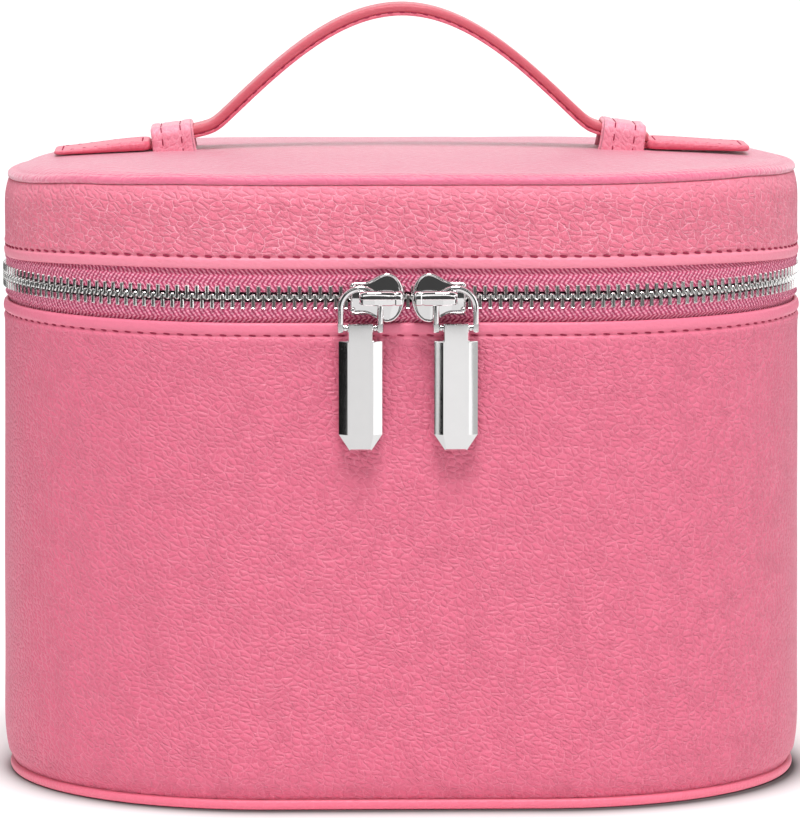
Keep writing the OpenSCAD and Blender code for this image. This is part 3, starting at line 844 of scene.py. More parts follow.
class Build:
    """Gathers shells into one mesh. A point is (x, distance in front of the middle line, z)."""

    def __init__(self, mirror):
        self.mirror = mirror
        self.points, self.faces = [], []

    def add(self, points, faces):
        start = len(self.points)
        for x, y, z in points:
            self.points.append((-x if self.mirror else x, -y, z))
        self.faces += [[start + int(i) for i in f] for f in faces]

    def rings(self, rings, caps=True):
        n = len(rings[0])
        faces = tube_faces(len(rings), n) if caps else grid_faces(len(rings), n, wrap_v=True)
        self.add([p for ring in rings for p in ring], faces)

    def block(self, low, high, bevel):
        """A box with bevelled edges, between two corners."""
        low, high = np.array(low, float), np.array(high, float)
        b = bevel
        xs = [(low[0], b), (low[0] + b, 0), (high[0] - b, 0), (high[0], b)]
        rings = []
        for x, cut in xs:
            y0, y1, z0, z1 = low[1] + cut, high[1] - cut, low[2] + cut, high[2] - cut
            k = b * 0.8
            rings.append([(x, y0 + k, z0), (x, y1 - k, z0), (x, y1, z0 + k), (x, y1, z1 - k),
                          (x, y1 - k, z1), (x, y0 + k, z1), (x, y0, z1 - k), (x, y0, z0 + k)])
        self.rings(rings)

    def ball(self, centre, radius, squash_y=1.0):
        cx, cy, cz = centre
        rings = []
        for lat in np.radians(np.linspace(-80, 80, 9)):
            rings.append([(cx + radius * math.cos(lat) * math.cos(t), cy + radius * squash_y * math.sin(lat),
                           cz + radius * math.cos(lat) * math.sin(t)) for t in np.arange(16) * math.pi / 8])
        self.rings(rings)

    def rod(self, start, end, radius, bevel=0.0):
        """A round rod along X."""
        _, y, z = start
        sides = 16
        turns = np.arange(sides) * 2 * math.pi / sides
        ends = [(start[0], radius - bevel), (start[0] + bevel, radius),
                (end[0] - bevel, radius), (end[0], radius - bevel)]
        self.rings([[(x, y + r * math.cos(t), z + r * math.sin(t)) for t in turns] for x, r in ends])


def finish_build(build, name, body, slot, node, smooth_angle=32, merge=False):
    obj = piece(name, build.points, build.faces, CHROME, body=body, slot=slot, replaces=[node], merge=merge)
    sharpen(obj, smooth_angle)


def make_slider(side):
    outline = slider_outline()
    b = Build(side == "left")

    def ring(flat, y, squeeze=1.0):
        return [(x, y, CHAIN_Z + z * squeeze) for x, z in flat]

    rim = [(0.0, PLATE_IN), (0.0, PLATE_OUT - 0.55), (0.10, PLATE_OUT - 0.25), (0.28, PLATE_OUT - 0.07),
           (0.46, PLATE_OUT), (0.60, PLATE_OUT - 0.05), (0.72, PLATE_OUT - 0.22), (0.80, PLATE_OUT - 0.50)]
    rings = [ring(inset_outline(outline, d), y) for d, y in rim]
    floor = inset_outline(outline, 0.84)
    for k in (1.0, 0.8, 0.6, 0.4, 0.2, 0.0):
        rings.append(ring(floor, PLATE_OUT - 0.52 + 0.50 * (1 - k * k) ** 0.9, k))
    b.rings(rings, caps=False)
    inside = [ring(inset_outline(outline, d), y) for d, y in ((0.0, PLATE_IN), (0.4, PLATE_IN - 0.001))]
    b.rings(inside, caps=False)
    b.rings([ring(inset_outline(outline, 0.4), PLATE_IN - 0.001, k) for k in (1.0, 0.5, 0.0)], caps=False)
    # the back plate, inside the case
    back_out, back_in = TOOTH_BACK - 0.3, TOOTH_BACK - 0.3 - 1.3
    back = outline * [1, 0.78]
    b.rings([ring(inset_outline(back, 0.3), back_out), ring(back, back_out - 0.2), ring(back, back_in + 0.3),
             ring(inset_outline(back, 0.3), back_in)])
    # the wedge between the rows of teeth, and the lip over the lower row
    start = HEAD_START
    wedge = np.array([(start + 0.8, 0.0), (start + 2.6, 0.3), (start + 5.0, 0.0), (start + 2.6, -0.3)])
    b.rings([ring(wedge, back_out), ring(wedge, PLATE_IN)])
    end = start + SLIDER_LEN
    b.block((start + 6.5, TAPE_OUT + 0.3, CHAIN_Z - 4.8), (end, PLATE_IN + 0.3, CHAIN_Z - 3.7), 0.15)
    for z in (3.45, -3.45):
        b.ball((end - 0.75, PLATE_OUT - 0.15, CHAIN_Z + z), 0.82, 0.8)
    finish_build(b, f"{side}_slider_plate", f"{side}_slider", "zip_metal", f"{side}_slider_body", merge=True)


def make_crown(side):
    """The bar over the slider's face. The bail hangs behind it."""
    b = Build(side == "left")
    bar_low, bar_high = CHAIN_Z - 1.75, CHAIN_Z + 2.15
    start, length, foot = HEAD_START + 0.7, 11.8, 1.9
    in_high = WIRE_Y + WIRE / 2 + 0.45
    in_low = in_high + 1.75
    out = in_low + 0.8
    ridge = CHAIN_Z + 0.05

    def section(x, cut, lean=0.0):
        z0, z1 = bar_low + cut * 0.7, bar_high - cut * 0.6
        y = out - cut - lean
        return [(x, in_low + 0.02, z0 + 0.05), (x, y - 0.42, z0), (x, y - 0.16, z0 + 0.22),
                (x, y - 0.12, ridge - 0.12), (x, y, ridge), (x, y - 0.05, ridge + 0.22),
                (x, y - 0.40, z1 - 0.5), (x, y - 0.62, z1 - 0.22), (x, y - 1.0, z1), (x, in_high + 0.05, z1)]

    rings = [section(start, 0.42), section(start + 0.3, 0.14), section(start + 0.55, 0.02),
             section(start + 1.7, 0.0), section(start + 2.0, 0.22), section(start + 2.5, 0.22),
             section(start + 2.9, 0.0), section(start + 8.6, 0.0), section(start + 9.4, 0.05),
             section(start + 10.6, 0.16), section(start + 11.3, 0.42), section(start + length, 0.75)]
    b.rings(rings)
    for x in (start, start + length - foot):
        b.block((x + 0.05, PLATE_OUT - 0.5, CHAIN_Z - 1.2), (x + foot - 0.05, in_low + 0.3, CHAIN_Z + 1.0),
                0.25)
    finish_build(b, f"{side}_slider_bridge", f"{side}_slider", "zip_metal", f"{side}_slider_crown")


PULL_X = HEAD_START + 12.2
BAIL_WIDTH = 12.8
BAIL_TOP = CHAIN_Z + 3.55
BAIL_R = (BAIL_WIDTH - WIRE) / 2
BAIL_PIVOT_Z = BAIL_TOP - WIRE / 2
PIN_Z = BAIL_PIVOT_Z - 10.9
PIN_R = 0.65


def make_bail(side):
    b = Build(side == "left")
    centre_z = BAIL_TOP - WIRE / 2 - BAIL_R
    tip_z = PIN_Z + 1.3
    spine = [(PULL_X - BAIL_R, z) for z in np.linspace(tip_z - 0.4, centre_z, 5)[:-1]]
    spine += [(PULL_X - BAIL_R * math.cos(a), centre_z + BAIL_R * math.sin(a))
              for a in np.linspace(0, math.pi, 33)]
    spine += [(PULL_X + BAIL_R, z) for z in np.linspace(centre_z, tip_z - 0.4, 5)[1:]]
    spine = np.array(spine)
    ahead = unit(np.gradient(spine, axis=0))
    turns = np.arange(20) * 2 * math.pi / 20
    r = WIRE / 2
    b.rings([[(p[0] + r * math.cos(t) * d[1], WIRE_Y + r * math.sin(t), p[1] - r * math.cos(t) * d[0])
              for t in turns] for p, d in zip(spine, ahead)])
    for s in (-1, 1):
        x = PULL_X + s * BAIL_R
        b.block((x - 0.95, WIRE_Y - 0.9, PIN_Z - 1.25), (x + 0.95, WIRE_Y + 0.9, PIN_Z + 1.25), 0.28)
    finish_build(b, f"{side}_bail_wire", f"{side}_bail", "pull_metal", f"{side}_bail")
    p = Build(side == "left")
    p.rod((PULL_X - BAIL_WIDTH / 2, WIRE_Y, PIN_Z), (PULL_X + BAIL_WIDTH / 2, WIRE_Y, PIN_Z), PIN_R)
    for s in (-1, 1):
        near, far = PULL_X + s * 3.62, PULL_X + s * 4.5
        p.rod((min(near, far), WIRE_Y, PIN_Z), (max(near, far), WIRE_Y, PIN_Z), 1.0, bevel=0.2)
    finish_build(p, f"{side}_pin", f"{side}_bail", "pull_metal", f"{side}_pull_pin")


def make_tab(side):
    b = Build(side == "left")
    half, neck, shoulder, top = 6.0, 3.5, 3.6, 1.2
    bottom = 35.1 - top
    front, back = WIRE_Y + 1.3, WIRE_Y - 1.3
    wide, thin = 2.4, 0.26
    right = [
        # outline x, z, its depth below the front, plateau x, z
        (neck - 0.25, top, 0.35, neck - thin - 0.1, top - thin),
        (neck, top - 0.25, 0.35, neck - thin, top - thin - 0.1),
        (neck, -shoulder + 0.3, 0.35, neck - thin, -shoulder - thin + 0.3),
        (neck + 0.3, -shoulder, 0.35, neck - thin + 0.15, -shoulder - thin),
        (half - 0.2, -shoulder, 1.0, half - wide - 0.1, -shoulder - thin),
        (half, -shoulder - 0.2, 1.0, half - wide, -shoulder - thin - 0.1),
        (half, -bottom + 4.4, 1.0, half - wide, -bottom + 4.4 - 0.1),
        (half - 3, -bottom, 0.45, half - 3 - 0.25, -bottom + thin + 0.1),
    ]
    rows = right + [(-x, z, d, -px, pz) for x, z, d, px, pz in reversed(right)]
    outer = np.array([(PULL_X + x, PIN_Z + z) for x, z, _, _, _ in rows])
    plateau = np.array([(PULL_X + x, PIN_Z + z) for _, _, _, x, z in rows])
    depth = [row[2] for row in rows]
    small = inset_outline(outer, 0.18)
    b.rings([
        [(x, back, z) for x, z in small],
        [(x, back + 0.18, z) for x, z in outer],
        [(x, front - d, z) for (x, z), d in zip(outer, depth)],
        [(x, front - 0.02, z) for x, z in plateau],
        [(x, front, z) for x, z in inset_outline(plateau, 0.06)],
    ])
    finish_build(b, f"{side}_tab", f"{side}_pull_tab", "pull_metal", f"{side}_pull_tab", smooth_angle=4)


for side in ("left", "right"):
    make_slider(side)
    make_crown(side)
    make_bail(side)
    make_tab(side)


# ---------------------------------------------------------------- handle

LOOP_REACH, LOOP_WIDTH, LOOP_RISE = 71.0, 13.4, 0.22
LOOP_MOUTH = LOOP_REACH - LOOP_WIDTH
STRAP_IN_LOOP = PANEL_Z + 9.8
ARCH_BASE, ARCH_HEIGHT, ARCH_FOOT, ARCH_POWER = PANEL_Z + 1.2, 43.2, 65.0, 1.1
STRAP_WIDTH, STRAP_PAD, STRAP_BACK = 16.0, 2.4, 0.9


def strap_top(x):
    x = np.abs(np.asarray(x, float))
    lobe = np.clip(np.cos(math.pi / 2 * np.minimum(x, ARCH_FOOT) / ARCH_FOOT), 0, None)
    arch = ARCH_BASE + ARCH_HEIGHT * lobe ** ARCH_POWER
    straight = STRAP_IN_LOOP - LOOP_RISE * (x - LOOP_MOUTH)
    return (arch + straight) / 2 + np.sqrt(((arch - straight) / 2) ** 2 + 0.36)


def flatten(obj):
    """Gives the object its own copy of its mesh."""
    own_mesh(obj)


def strap_slope(x):
    return np.arctan(strap_top(x + 0.5) - strap_top(x - 0.5))


def strap_layer(name, section, node, slot, material):
    """A closed cross-section (y, depth below the top surface) along the strap."""
    x = np.linspace(-LOOP_REACH + 0.1, LOOP_REACH - 0.1, 241)
    slope = strap_slope(x)
    top = strap_top(x)
    length = arc_length(x, top)
    section = np.asarray(section, float)
    points, hide = [], []
    around = arc_length(section[:, 0], section[:, 1])
    for i in range(len(x)):
        for j, (y, depth) in enumerate(section):
            points.append((x[i] + depth * math.sin(slope[i]), y, top[i] - depth * math.cos(slope[i])))
            hide.append((length[i], around[j], 0))
    faces = tube_faces(len(x), len(section))
    flatten(piece(name, points, faces, material, body="lid", slot=slot, replaces=[node], hide=hide))


def rounded_section(half, top, bottom, radius, groove=None):
    """Half width, depths of the top and bottom, corner radius. groove is how far a stitched line is from
    the edge."""
    corner = [(half - radius + radius * math.sin(a), top + radius - radius * math.cos(a))
              for a in np.linspace(0, math.pi / 2, 6)]
    low_r = radius * 0.5
    low = [(half - low_r + low_r * math.cos(a), bottom - low_r + low_r * math.sin(a))
           for a in np.linspace(0, math.pi / 2, 4)]
    flat = np.linspace(0, half - radius, 24)[:-1]
    lift = np.zeros_like(flat)
    if groove:
        lift = 0.30 * bell(flat - (half - groove), 0.45) - 0.05 * bell(flat, half * 0.6)
    right = [(y, top + d) for y, d in zip(flat, lift)] + corner + low
    left = [(-y, d) for y, d in reversed(right)]
    return right + left[:-1]


def make_strap():
    half = STRAP_WIDTH / 2
    strap_layer("handle_leather", rounded_section(half, 0.0, STRAP_PAD - 0.12, 1.0, 2.2),
                "handle_strap", "pink_leather", LEATHER_STRAP)
    strap_layer("handle_underside",
                rounded_section(half - 0.15, STRAP_PAD - 0.05, STRAP_PAD + STRAP_BACK, 0.35),
                "handle_strap_backing", "strap_backing", LEATHER_SMALL)
    fine = np.linspace(-LOOP_MOUTH - 2, LOOP_MOUTH + 2, 2001)
    run = arc_length(fine, strap_top(fine))
    count = int(run[-1] / 3.6)
    x = np.interp((np.arange(count) + 0.5) * run[-1] / count, run, fine)
    slope = strap_slope(x)
    along = np.stack([np.cos(slope), 0 * x, np.sin(slope)], -1)
    out = np.stack([-np.sin(slope), 0 * x, np.cos(slope)], -1)
    base = np.stack([x, 0 * x, strap_top(x)], -1)

    def both_sides(name, line, y, outward, length, radius):
        centres = np.concatenate([line + [0, -y, 0], line + [0, y, 0]])
        flatten(capsules(name, centres, np.tile(along, (2, 1)), outward, length, radius, "lid"))

    both_sides("handle_stitches", base - 0.26 * out, 5.8, np.tile(out, (2, 1)), 1.7, 0.26)
    # the dashes in the groove between the two layers, on the strap's front and back edges
    sideways = np.repeat([[0.0, -1.0, 0.0], [0.0, 1.0, 0.0]], len(x), axis=0)
    both_sides("handle_edge_stitches", base - (STRAP_PAD - 0.08) * out, half - 0.22, sideways, 1.6, 0.2)


make_strap()


def make_loop(side):
    """A strip of leather over the strap, sewn down in front and behind."""
    sign = -1 if side == "left" else 1
    outer_y = STRAP_WIDTH / 2 + 2
    outward_shift, width = (1.9, LOOP_WIDTH - 1.2) if side == "left" else (-0.4, LOOP_WIDTH - 0.6)
    mid_x = LOOP_REACH - LOOP_WIDTH / 2 + outward_shift
    top_z = STRAP_IN_LOOP - LOOP_RISE * (LOOP_WIDTH / 2 + outward_shift) + LEATHER + 0.45
    tilt = math.atan(LOOP_RISE * 0.62)
    r = 3.0 - LEATHER / 2
    mid_y, mid_z = outer_y - LEATHER / 2, -LEATHER / 2
    low = -9.6
    spine = [(-mid_y, z) for z in np.linspace(low, mid_z - r, 9)[:-1]]
    quarter = np.linspace(0, math.pi / 2, 7)
    spine += [(-mid_y + r - r * math.cos(a), mid_z - r + r * math.sin(a)) for a in quarter]
    spine += [(y, mid_z) for y in np.linspace(-mid_y + r, mid_y - r, 13)[1:-1]]
    spine += [(mid_y - r + r * math.sin(a), mid_z - r + r * math.cos(a)) for a in quarter]
    spine += [(mid_y, z) for z in np.linspace(mid_z - r, low, 9)[1:]]
    spine = np.array(spine)
    ahead = unit(np.gradient(spine, axis=0))
    outward = np.stack([-ahead[:, 1], ahead[:, 0]], -1)
    half, thick = width / 2, LEATHER / 2
    lines = (-half + width * 0.30, half - width * 0.25)
    flat = np.linspace(-half + 0.75, half - 0.75, 31)
    top = [(x, thick - sum(0.30 * bell(x - g, 0.5) for g in lines)
            + 0.12 * (bell(x + half - 1.6, 1.0) + bell(x - half + 1.6, 1.0))) for x in flat]
    turn = np.linspace(math.pi / 2, -math.pi / 2, 9)[1:-1]
    right = [(half - 0.75 + 0.75 * math.cos(a), 0.75 * math.sin(a)) for a in turn]
    left = [(-half + 0.75 - 0.75 * math.cos(a), 0.75 * math.sin(a)) for a in turn[::-1]]
    under = [(x, -thick) for x in flat[::-1][::5]]
    section = np.array(top + right + under + left)
    around = arc_length(section[:, 0], section[:, 1])
    run = arc_length(spine[:, 0], spine[:, 1])
    cos_t, sin_t = math.cos(tilt), math.sin(tilt)
    points, hide = [], []
    for i, (p, n) in enumerate(zip(spine, outward)):
        # the feet spread a little where they meet the lid
        spread = 1 + 0.035 * ramp(abs(run[i] - run[-1] / 2), run[-1] / 2 - 5, run[-1] / 2)
        for j, (x, h) in enumerate(section):
            y, z = p + n * h
            lx, lz = x * spread, z
            px = mid_x + lx * cos_t + lz * sin_t
            pz = top_z - lx * sin_t + lz * cos_t
            points.append((sign * px, y, pz))
            hide.append((run[i], around[j] + 40 * sign, 0))
    piece(f"{side}_loop_leather", points, tube_faces(len(spine), len(section)), LEATHER_LOOP_PAINTED_LIGHT, body="lid",
          slot="pink_leather", replaces=[f"{side}_strap_loop"], hide=hide)
    centres, along, out = [], [], []
    count = int(run[-1] / 3.3)
    for g in lines:
        for k in range(count):
            at = (k + 0.5) * run[-1] / count
            p = np.array([np.interp(at, run, spine[:, 0]), np.interp(at, run, spine[:, 1])])
            i = int(np.argmin(np.abs(run - at)))
            y, z = p + outward[i] * (thick - 0.21)
            centres.append((sign * (mid_x + g * cos_t + z * sin_t), y, top_z - g * sin_t + z * cos_t))
            along.append((sign * ahead[i][1] * sin_t, ahead[i][0], ahead[i][1] * cos_t))
            out.append((sign * outward[i][1] * sin_t, outward[i][0], outward[i][1] * cos_t))
    capsules(f"{side}_loop_stitches", centres, along, out, 2.0, 0.17, "lid")


def make_tail(side):
    """The strap's end: a flat rounded tab that lies on the lid outside the loop."""
    sign = -1 if side == "left" else 1
    width, thick, corner, edge = 22.0, 2.6, 3.2, 1.05
    taper, share_of_slope = (0.55, 1.0) if side == "left" else (0.32, 0.5)
    inner_x = LOOP_REACH + (1.0 if side == "left" else -0.7)
    outer_x = LOOP_REACH + 28.8
    length = outer_x - inner_x
    start_z, end_z = float(crown_z(inner_x - END_X)), float(crown_z(outer_x - END_X))
    tilt = math.atan(share_of_slope * (start_z - end_z) / length)
    outline = []
    for cx, cy, a0 in ((length - corner, width / 2 - corner, 0), (corner, width / 2 - corner, 90),
                       (corner, -width / 2 + corner, 180), (length - corner, -width / 2 + corner, 270)):
        for a in np.radians(np.linspace(a0, a0 + 90, 9)):
            outline.append((cx + corner * math.cos(a), cy + corner * math.sin(a)))
        last = outline[-1]
        following = {0: (corner, width / 2), 90: (0, -width / 2 + corner), 180: (length - corner, -width / 2),
                     270: (length, width / 2 - corner)}[a0]
        outline += [tuple(np.array(last) + (np.array(following) - last) * k / 8) for k in range(1, 8)]
    outline = np.array(outline)
    levels = [(edge + 0.6, 0.0), (edge, 0.0)]
    fall, rise = np.linspace(0.3, math.pi / 2, 5), np.linspace(0.1, math.pi / 2, 6)
    levels += [(edge - edge * math.sin(a), edge - edge * math.cos(a)) for a in fall]
    levels += [(edge - edge * math.cos(a), thick - edge + edge * math.sin(a)) for a in rise]
    levels += [(1.7, thick + 0.02), (2.1, thick - 0.10), (2.4, thick - 0.25), (2.7, thick - 0.12),
               (3.2, thick + 0.03)]
    rings = [(inset_outline(outline, d), h) for d, h in levels]
    middle = np.array([length / 2, 0.0])
    inner = inset_outline(outline, 3.2)
    for k, h in ((0.8, 0.10), (0.55, 0.16), (0.25, 0.2), (0.04, 0.2)):
        rings.append((middle + (inner - middle) * k, thick + h))

    def place(x, y, h):
        h = h * (1 - taper * float(ramp(x, 2, length)))
        return (sign * (inner_x + x * math.cos(tilt) + h * math.sin(tilt)), y,
                start_z + 0.4 + h * math.cos(tilt) - x * math.sin(tilt))

    points = [place(x, y, h) for flat, h in rings for x, y in flat]
    hide = [(x * sign + 200, y - h, 0) for flat, h in rings for x, y in flat]
    faces = tube_faces(len(rings), len(outline))
    # the tongue that runs into the loop under the strap
    section = [(-7.6, 0.15), (-7.2, 0.0), (7.2, 0.0), (7.6, 0.15), (7.6, 1.0), (7.2, 1.2), (-7.2, 1.2),
               (-7.6, 1.0)]
    reach = (-10.9, -7, -3, 1.5)
    start = len(points)
    points += [place(x, y, h - 0.05) for x in reach for y, h in section]
    hide += [(x + 230, y, 0) for x in reach for y, h in section]
    faces += [[start + i for i in f] for f in tube_faces(len(reach), len(section))]
    piece(f"{side}_tail_leather", points, faces, LEATHER_SMALL, body=f"{side}_strap_end",
          slot="pink_leather", replaces=[f"{side}_strap_end"], hide=hide)
    line = inset_outline(outline, 2.4)
    closed = np.vstack([line, line[:1]])
    run = arc_length(closed[:, 0], closed[:, 1])
    count = int(run[-1] / 3.4)
    at = (np.arange(count) + 0.5) * run[-1] / count
    x, y = np.interp(at, run, closed[:, 0]), np.interp(at, run, closed[:, 1])
    dx = np.interp(at + 0.1, run, closed[:, 0]) - np.interp(at - 0.1, run, closed[:, 0])
    dy = np.interp(at + 0.1, run, closed[:, 1]) - np.interp(at - 0.1, run, closed[:, 1])
    centres = [place(a, b, thick - 0.20) for a, b in zip(x, y)]
    along = np.stack([sign * dx, dy, -dx * math.tan(tilt)], -1)
    out = np.tile([sign * math.sin(tilt), 0.0, math.cos(tilt)], (count, 1))
    capsules(f"{side}_tail_stitches", centres, along, out, 1.5, 0.24, f"{side}_strap_end")


for side in ("left", "right"):
    make_loop(side)
    make_tail(side)


# ---------------------------------------------------------------- hinge at the back

def make_flap():
    """The leather over the back of the zip, sewn to the body and to the lid."""
    low, high, corner = RIM_Z - FLAP_REACH, LID_EDGE + FLAP_REACH, 4.0
    edge, seam = 0.45, 2.6
    z = np.concatenate([np.linspace(low, low + corner, 8)[:-1], np.linspace(low + corner, high - corner, 32),
                        np.linspace(high - corner, high, 8)[1:]])
    points, hide = [], []
    n = 61
    for front, y in ((True, WALL_R + 1.0), (False, WALL_R + 0.05)):
        for h in z:
            from_end = min(h - low, high - h)
            cut = corner - math.sqrt(max(0.0, corner**2 - (corner - min(from_end, corner)) ** 2))
            reach = FLAP_HALF - cut
            for u in np.linspace(-1, 1, n):
                x = reach * math.copysign(abs(u) ** 0.85, u)
                from_side = reach - abs(x)
                fall = groove = 0.0
                if front:
                    fall = 0.40 * (1 - ramp(min(from_side, from_end), 0.0, edge + 0.3))
                    sewn = abs(h - CHAIN_Z) > 7.0 or FLAP_HALF - abs(x) < 3.6
                    groove = 0.28 * bell(min(FLAP_HALF - abs(x), from_end) - seam, 0.5) if sewn else 0.0
                points.append((x, y - fall - groove, h))
                hide.append((x + 500, h, 0))
    flap = piece("hinge_leather", points, slab_faces(len(z), n), LEATHER_BAND_PAINTED_LIGHT, slot="pink_leather",
                 replaces=["hinge_flap"], hide=hide)
    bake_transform(flap)
    inner = FLAP_HALF - seam
    for name, body, rows, line_z in (
        ("hinge_stitches_lower", "case", (low + seam, RIM_Z - 2.0), low + seam),
        ("hinge_stitches_upper", "lid", (LID_EDGE + 2.0, high - seam), high - seam),
    ):
        xs = np.arange(-inner + 2.2, inner - 2.0, 3.6)
        centres = [(x, WALL_R + 0.80, line_z) for x in xs]
        along = [(1, 0, 0)] * len(xs)
        for side in (-1, 1):
            for h in np.arange(rows[0] + 1.5, rows[1], 3.2):
                centres.append((side * inner, WALL_R + 0.80, h))
                along.append((0, 0, 1))
        capsules(name, centres, along, [(0, 1, 0)] * len(centres), 1.6, 0.24, body)


make_flap()


def make_inner_hinge():
    """The cloth inside the hinge."""
    low, high = RIM_Z - FLAP_REACH, LID_EDGE + FLAP_REACH
    z = np.linspace(low, high, 45)
    x = np.linspace(-FLAP_HALF, FLAP_HALF, 49)
    points, hide = [], []
    for y in (LINING_IN - 0.6, LINING_IN - 0.02):
        for h in z:
            soft = 0.25 * math.sin(math.pi * (h - low) / (high - low))
            for a in x:
                ripple = 0.10 * math.sin(a * 0.5) * bell(h - CHAIN_Z, 5.0)
                points.append((a, y - soft - ripple, h))
                hide.append((a, h, 0))
    cloth = piece("hinge_cloth", points, slab_faces(len(z), len(x)), LINING, slot="lining_fabric",
                  replaces=["hinge_lining"], hide=hide)
    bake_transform(cloth)


make_inner_hinge()


# ---------------------------------------------------------------- linings

def make_linings():
    """The cloth inside the wall, on the floor, inside the lid's band and under the lid's top."""
    def cloth(name, rho, z, shape, body, node, **options):
        sweep(name, np.concatenate(rho), np.concatenate(z), LINING, COARSE_COLUMNS, shape,
              body=body, slot="lining_fabric", replaces=[node], **options)

    floor_z = 3.4
    low, high = floor_z + 0.6, RIM_Z - 0.45
    z = np.concatenate([np.linspace(low, 125, 50), np.linspace(126, high - 0.6, 14)])
    edge_rho = [LINING_IN + 0.15, LINING_IN + 0.6, BOARD_IN + 0.55, BOARD_IN + 0.65, BOARD_IN, BOARD_IN,
                BOARD_IN - 1.6]
    edge_z = [high - 0.15, high, high - 0.1, high - 0.6, high - 1.4, 40, low]

    def shape(s, r, h):
        inside = (r < LINING_IN + 0.1) & (h < high - 0.5)
        wave = 0.25 * np.sin(s * 2 * math.pi / outline_length() * 23 + 0.02 * h) * np.sin(0.03 * h + 0.5)
        seam = 0.3 * bell(h - (RIM_Z - 6), 0.6)
        return np.where(inside, -0.15 - 0.6 * np.abs(wave) + seam, 0.0), 0.0

    cloth("case_lining", [LINING_IN - wall_tuck(z), edge_rho], [z, edge_z], shape, "case", "body_lining")
    round_stitches("case_lining_stitches", LINING_IN - 0.07, RIM_Z - 6, "case", length=1.5, radius=0.2)

    edge = LINING_IN - TUCK - 0.1
    r_top = np.concatenate([np.linspace(0, edge - 6, 16), np.linspace(edge - 5.4, edge - 0.5, 12)])
    under_z = floor_z + 0.02

    def puff(s, r, h):
        up = h > floor_z + 0.55
        return 0.0, np.where(up, 0.9 * (1 - (r / edge) ** 6) - 0.35 * bell(r - (edge - 5), 0.9), 0.0)

    cloth("case_floor_cloth", [r_top, [edge - 0.15, edge, edge, edge - 20, 0]],
          [np.full(len(r_top), floor_z + 0.62), [floor_z + 0.5, floor_z + 0.35, under_z, under_z, under_z]],
          puff, "case", "floor_lining", flat_hide=True, merge=True)

    top_z = SEAM_Z - 2.0 - 0.6

    def side(s, r, h):
        inside = (r < LINING_IN + 0.1) & (h > LID_EDGE + 1.0)
        wave = 0.2 * np.sin(s * 2 * math.pi / outline_length() * 19)
        out = np.where(inside, -0.1 - 0.4 * np.abs(wave) + 0.25 * bell(h - (LID_EDGE + 6), 0.6), 0.0)
        return out, -end_droop(s, r) * ramp(h, LID_EDGE + 8, SEAM_Z - 3)

    cloth("lid_lining_side",
          [[LINING_IN + 0.2], np.full(24, LINING_IN),
           [BOARD_IN, BOARD_IN, BOARD_IN + 0.6, BOARD_IN + 0.5, LINING_IN + 0.6]],
          [[LID_EDGE + 0.6], np.linspace(LID_EDGE + 1.2, top_z, 24),
           [top_z, LID_EDGE + 1.4, LID_EDGE + 1.0, LID_EDGE + 0.5, LID_EDGE + 0.3]],
          side, "lid", "lid_side_lining")

    r_under = np.concatenate([np.linspace(0, 62, 20), np.linspace(63, LINING_IN - 0.1, 16)])

    def down(s, r, h):
        under = h < top_z + 0.1
        sag = 0.8 * (1 - (r / BOARD_IN) ** 4) - 0.35 * bell(r - 64, 0.9)
        return 0.0, np.where(under, -np.clip(sag, -0.2, None), 0.0) - end_droop(s, r)

    cloth("lid_lining_top", [r_under, [BOARD_IN - 0.1, BOARD_IN - 0.1, 40, 0]],
          [np.full(len(r_under), top_z), [top_z, top_z + 0.58, top_z + 0.58, top_z + 0.58]],
          down, "lid", "lid_top_lining", flat_hide=True, merge=True)


make_linings()


# ---------------------------------------------------------------- CAD nodes that stay

def paint(node, material):
    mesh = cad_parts[node].data
    mesh.materials.clear()
    mesh.materials.append(material)


for node, material in (("body_stiffener", BOARD), ("base_board", BOARD), ("lower_zip_stops", ZIP_BRIGHT),
                       ("upper_zip_stops", ZIP_BRIGHT)):
    paint(node, material)


# ---------------------------------------------------------------- studio

def make_floor():
    """White paper, with a painted contact shadow where it touches the case, which only the camera sees; its
    light stays the same.
    """
    mesh = bpy.data.meshes.new("floor")
    size = 30.0
    corners = [(-size, -size, 0), (size, -size, 0), (size, size, 0), (-size, size, 0)]
    mesh.from_pydata(corners, [], [(0, 1, 2, 3)])
    # the shade's centre and how fast it fades, in metres
    centre_x, centre_y, fade = 0.0015, -0.003, 0.0065
    m = Maker("floor_paper")
    where = m.node("ShaderNodeTexCoord", out=3)
    across = m.math("ABSOLUTE", m.minus(m.part(where, 0), centre_x))
    across = m.math("MAXIMUM", m.minus(across, END_X * MM), 0.0)
    deep = m.plus(m.part(where, 1), -centre_y)
    away = m.math("SQRT", m.times_plus(across, across, m.times(deep, deep)))
    away = m.math("MAXIMUM", m.minus(away, (WALL_R - 2.0) * MM), 0.0)
    shade = m.math("POWER", 2.718, m.times(away, -1 / fade))
    # the painted contact shadow shows to camera rays only
    shade = m.times(shade, m.node("ShaderNodeLightPath", out="Is Camera Ray"))
    fibre = m.noise(where, 400.0, 3.0, 0.6)
    m.bump(fibre, 0.01)
    tint = m.mix(m.times(shade, 0.95), (0.92, 0.92, 0.92), (0.05, 0.048, 0.048))
    mesh.materials.append(m.surface(Base_Color=tint, Roughness=0.9, Specular_IOR_Level=0.1))
    add_object("floor", mesh)


def make_card(name, corners, brightness):
    """A card that only reflections see, from its four corners in metres."""
    mesh = bpy.data.meshes.new(name)
    mesh.from_pydata(corners, [], [(0, 1, 2, 3)])
    m = Maker(name)
    m.surface(Base_Color=(0, 0, 0), Roughness=1.0, Specular_IOR_Level=0.0,
              Emission_Color=(brightness,) * 3, Emission_Strength=1.0)
    mesh.materials.append(m.material)
    obj = add_object(name, mesh)
    obj.visible_camera = False
    obj.visible_diffuse = False
    obj.visible_shadow = False
    obj.visible_transmission = False


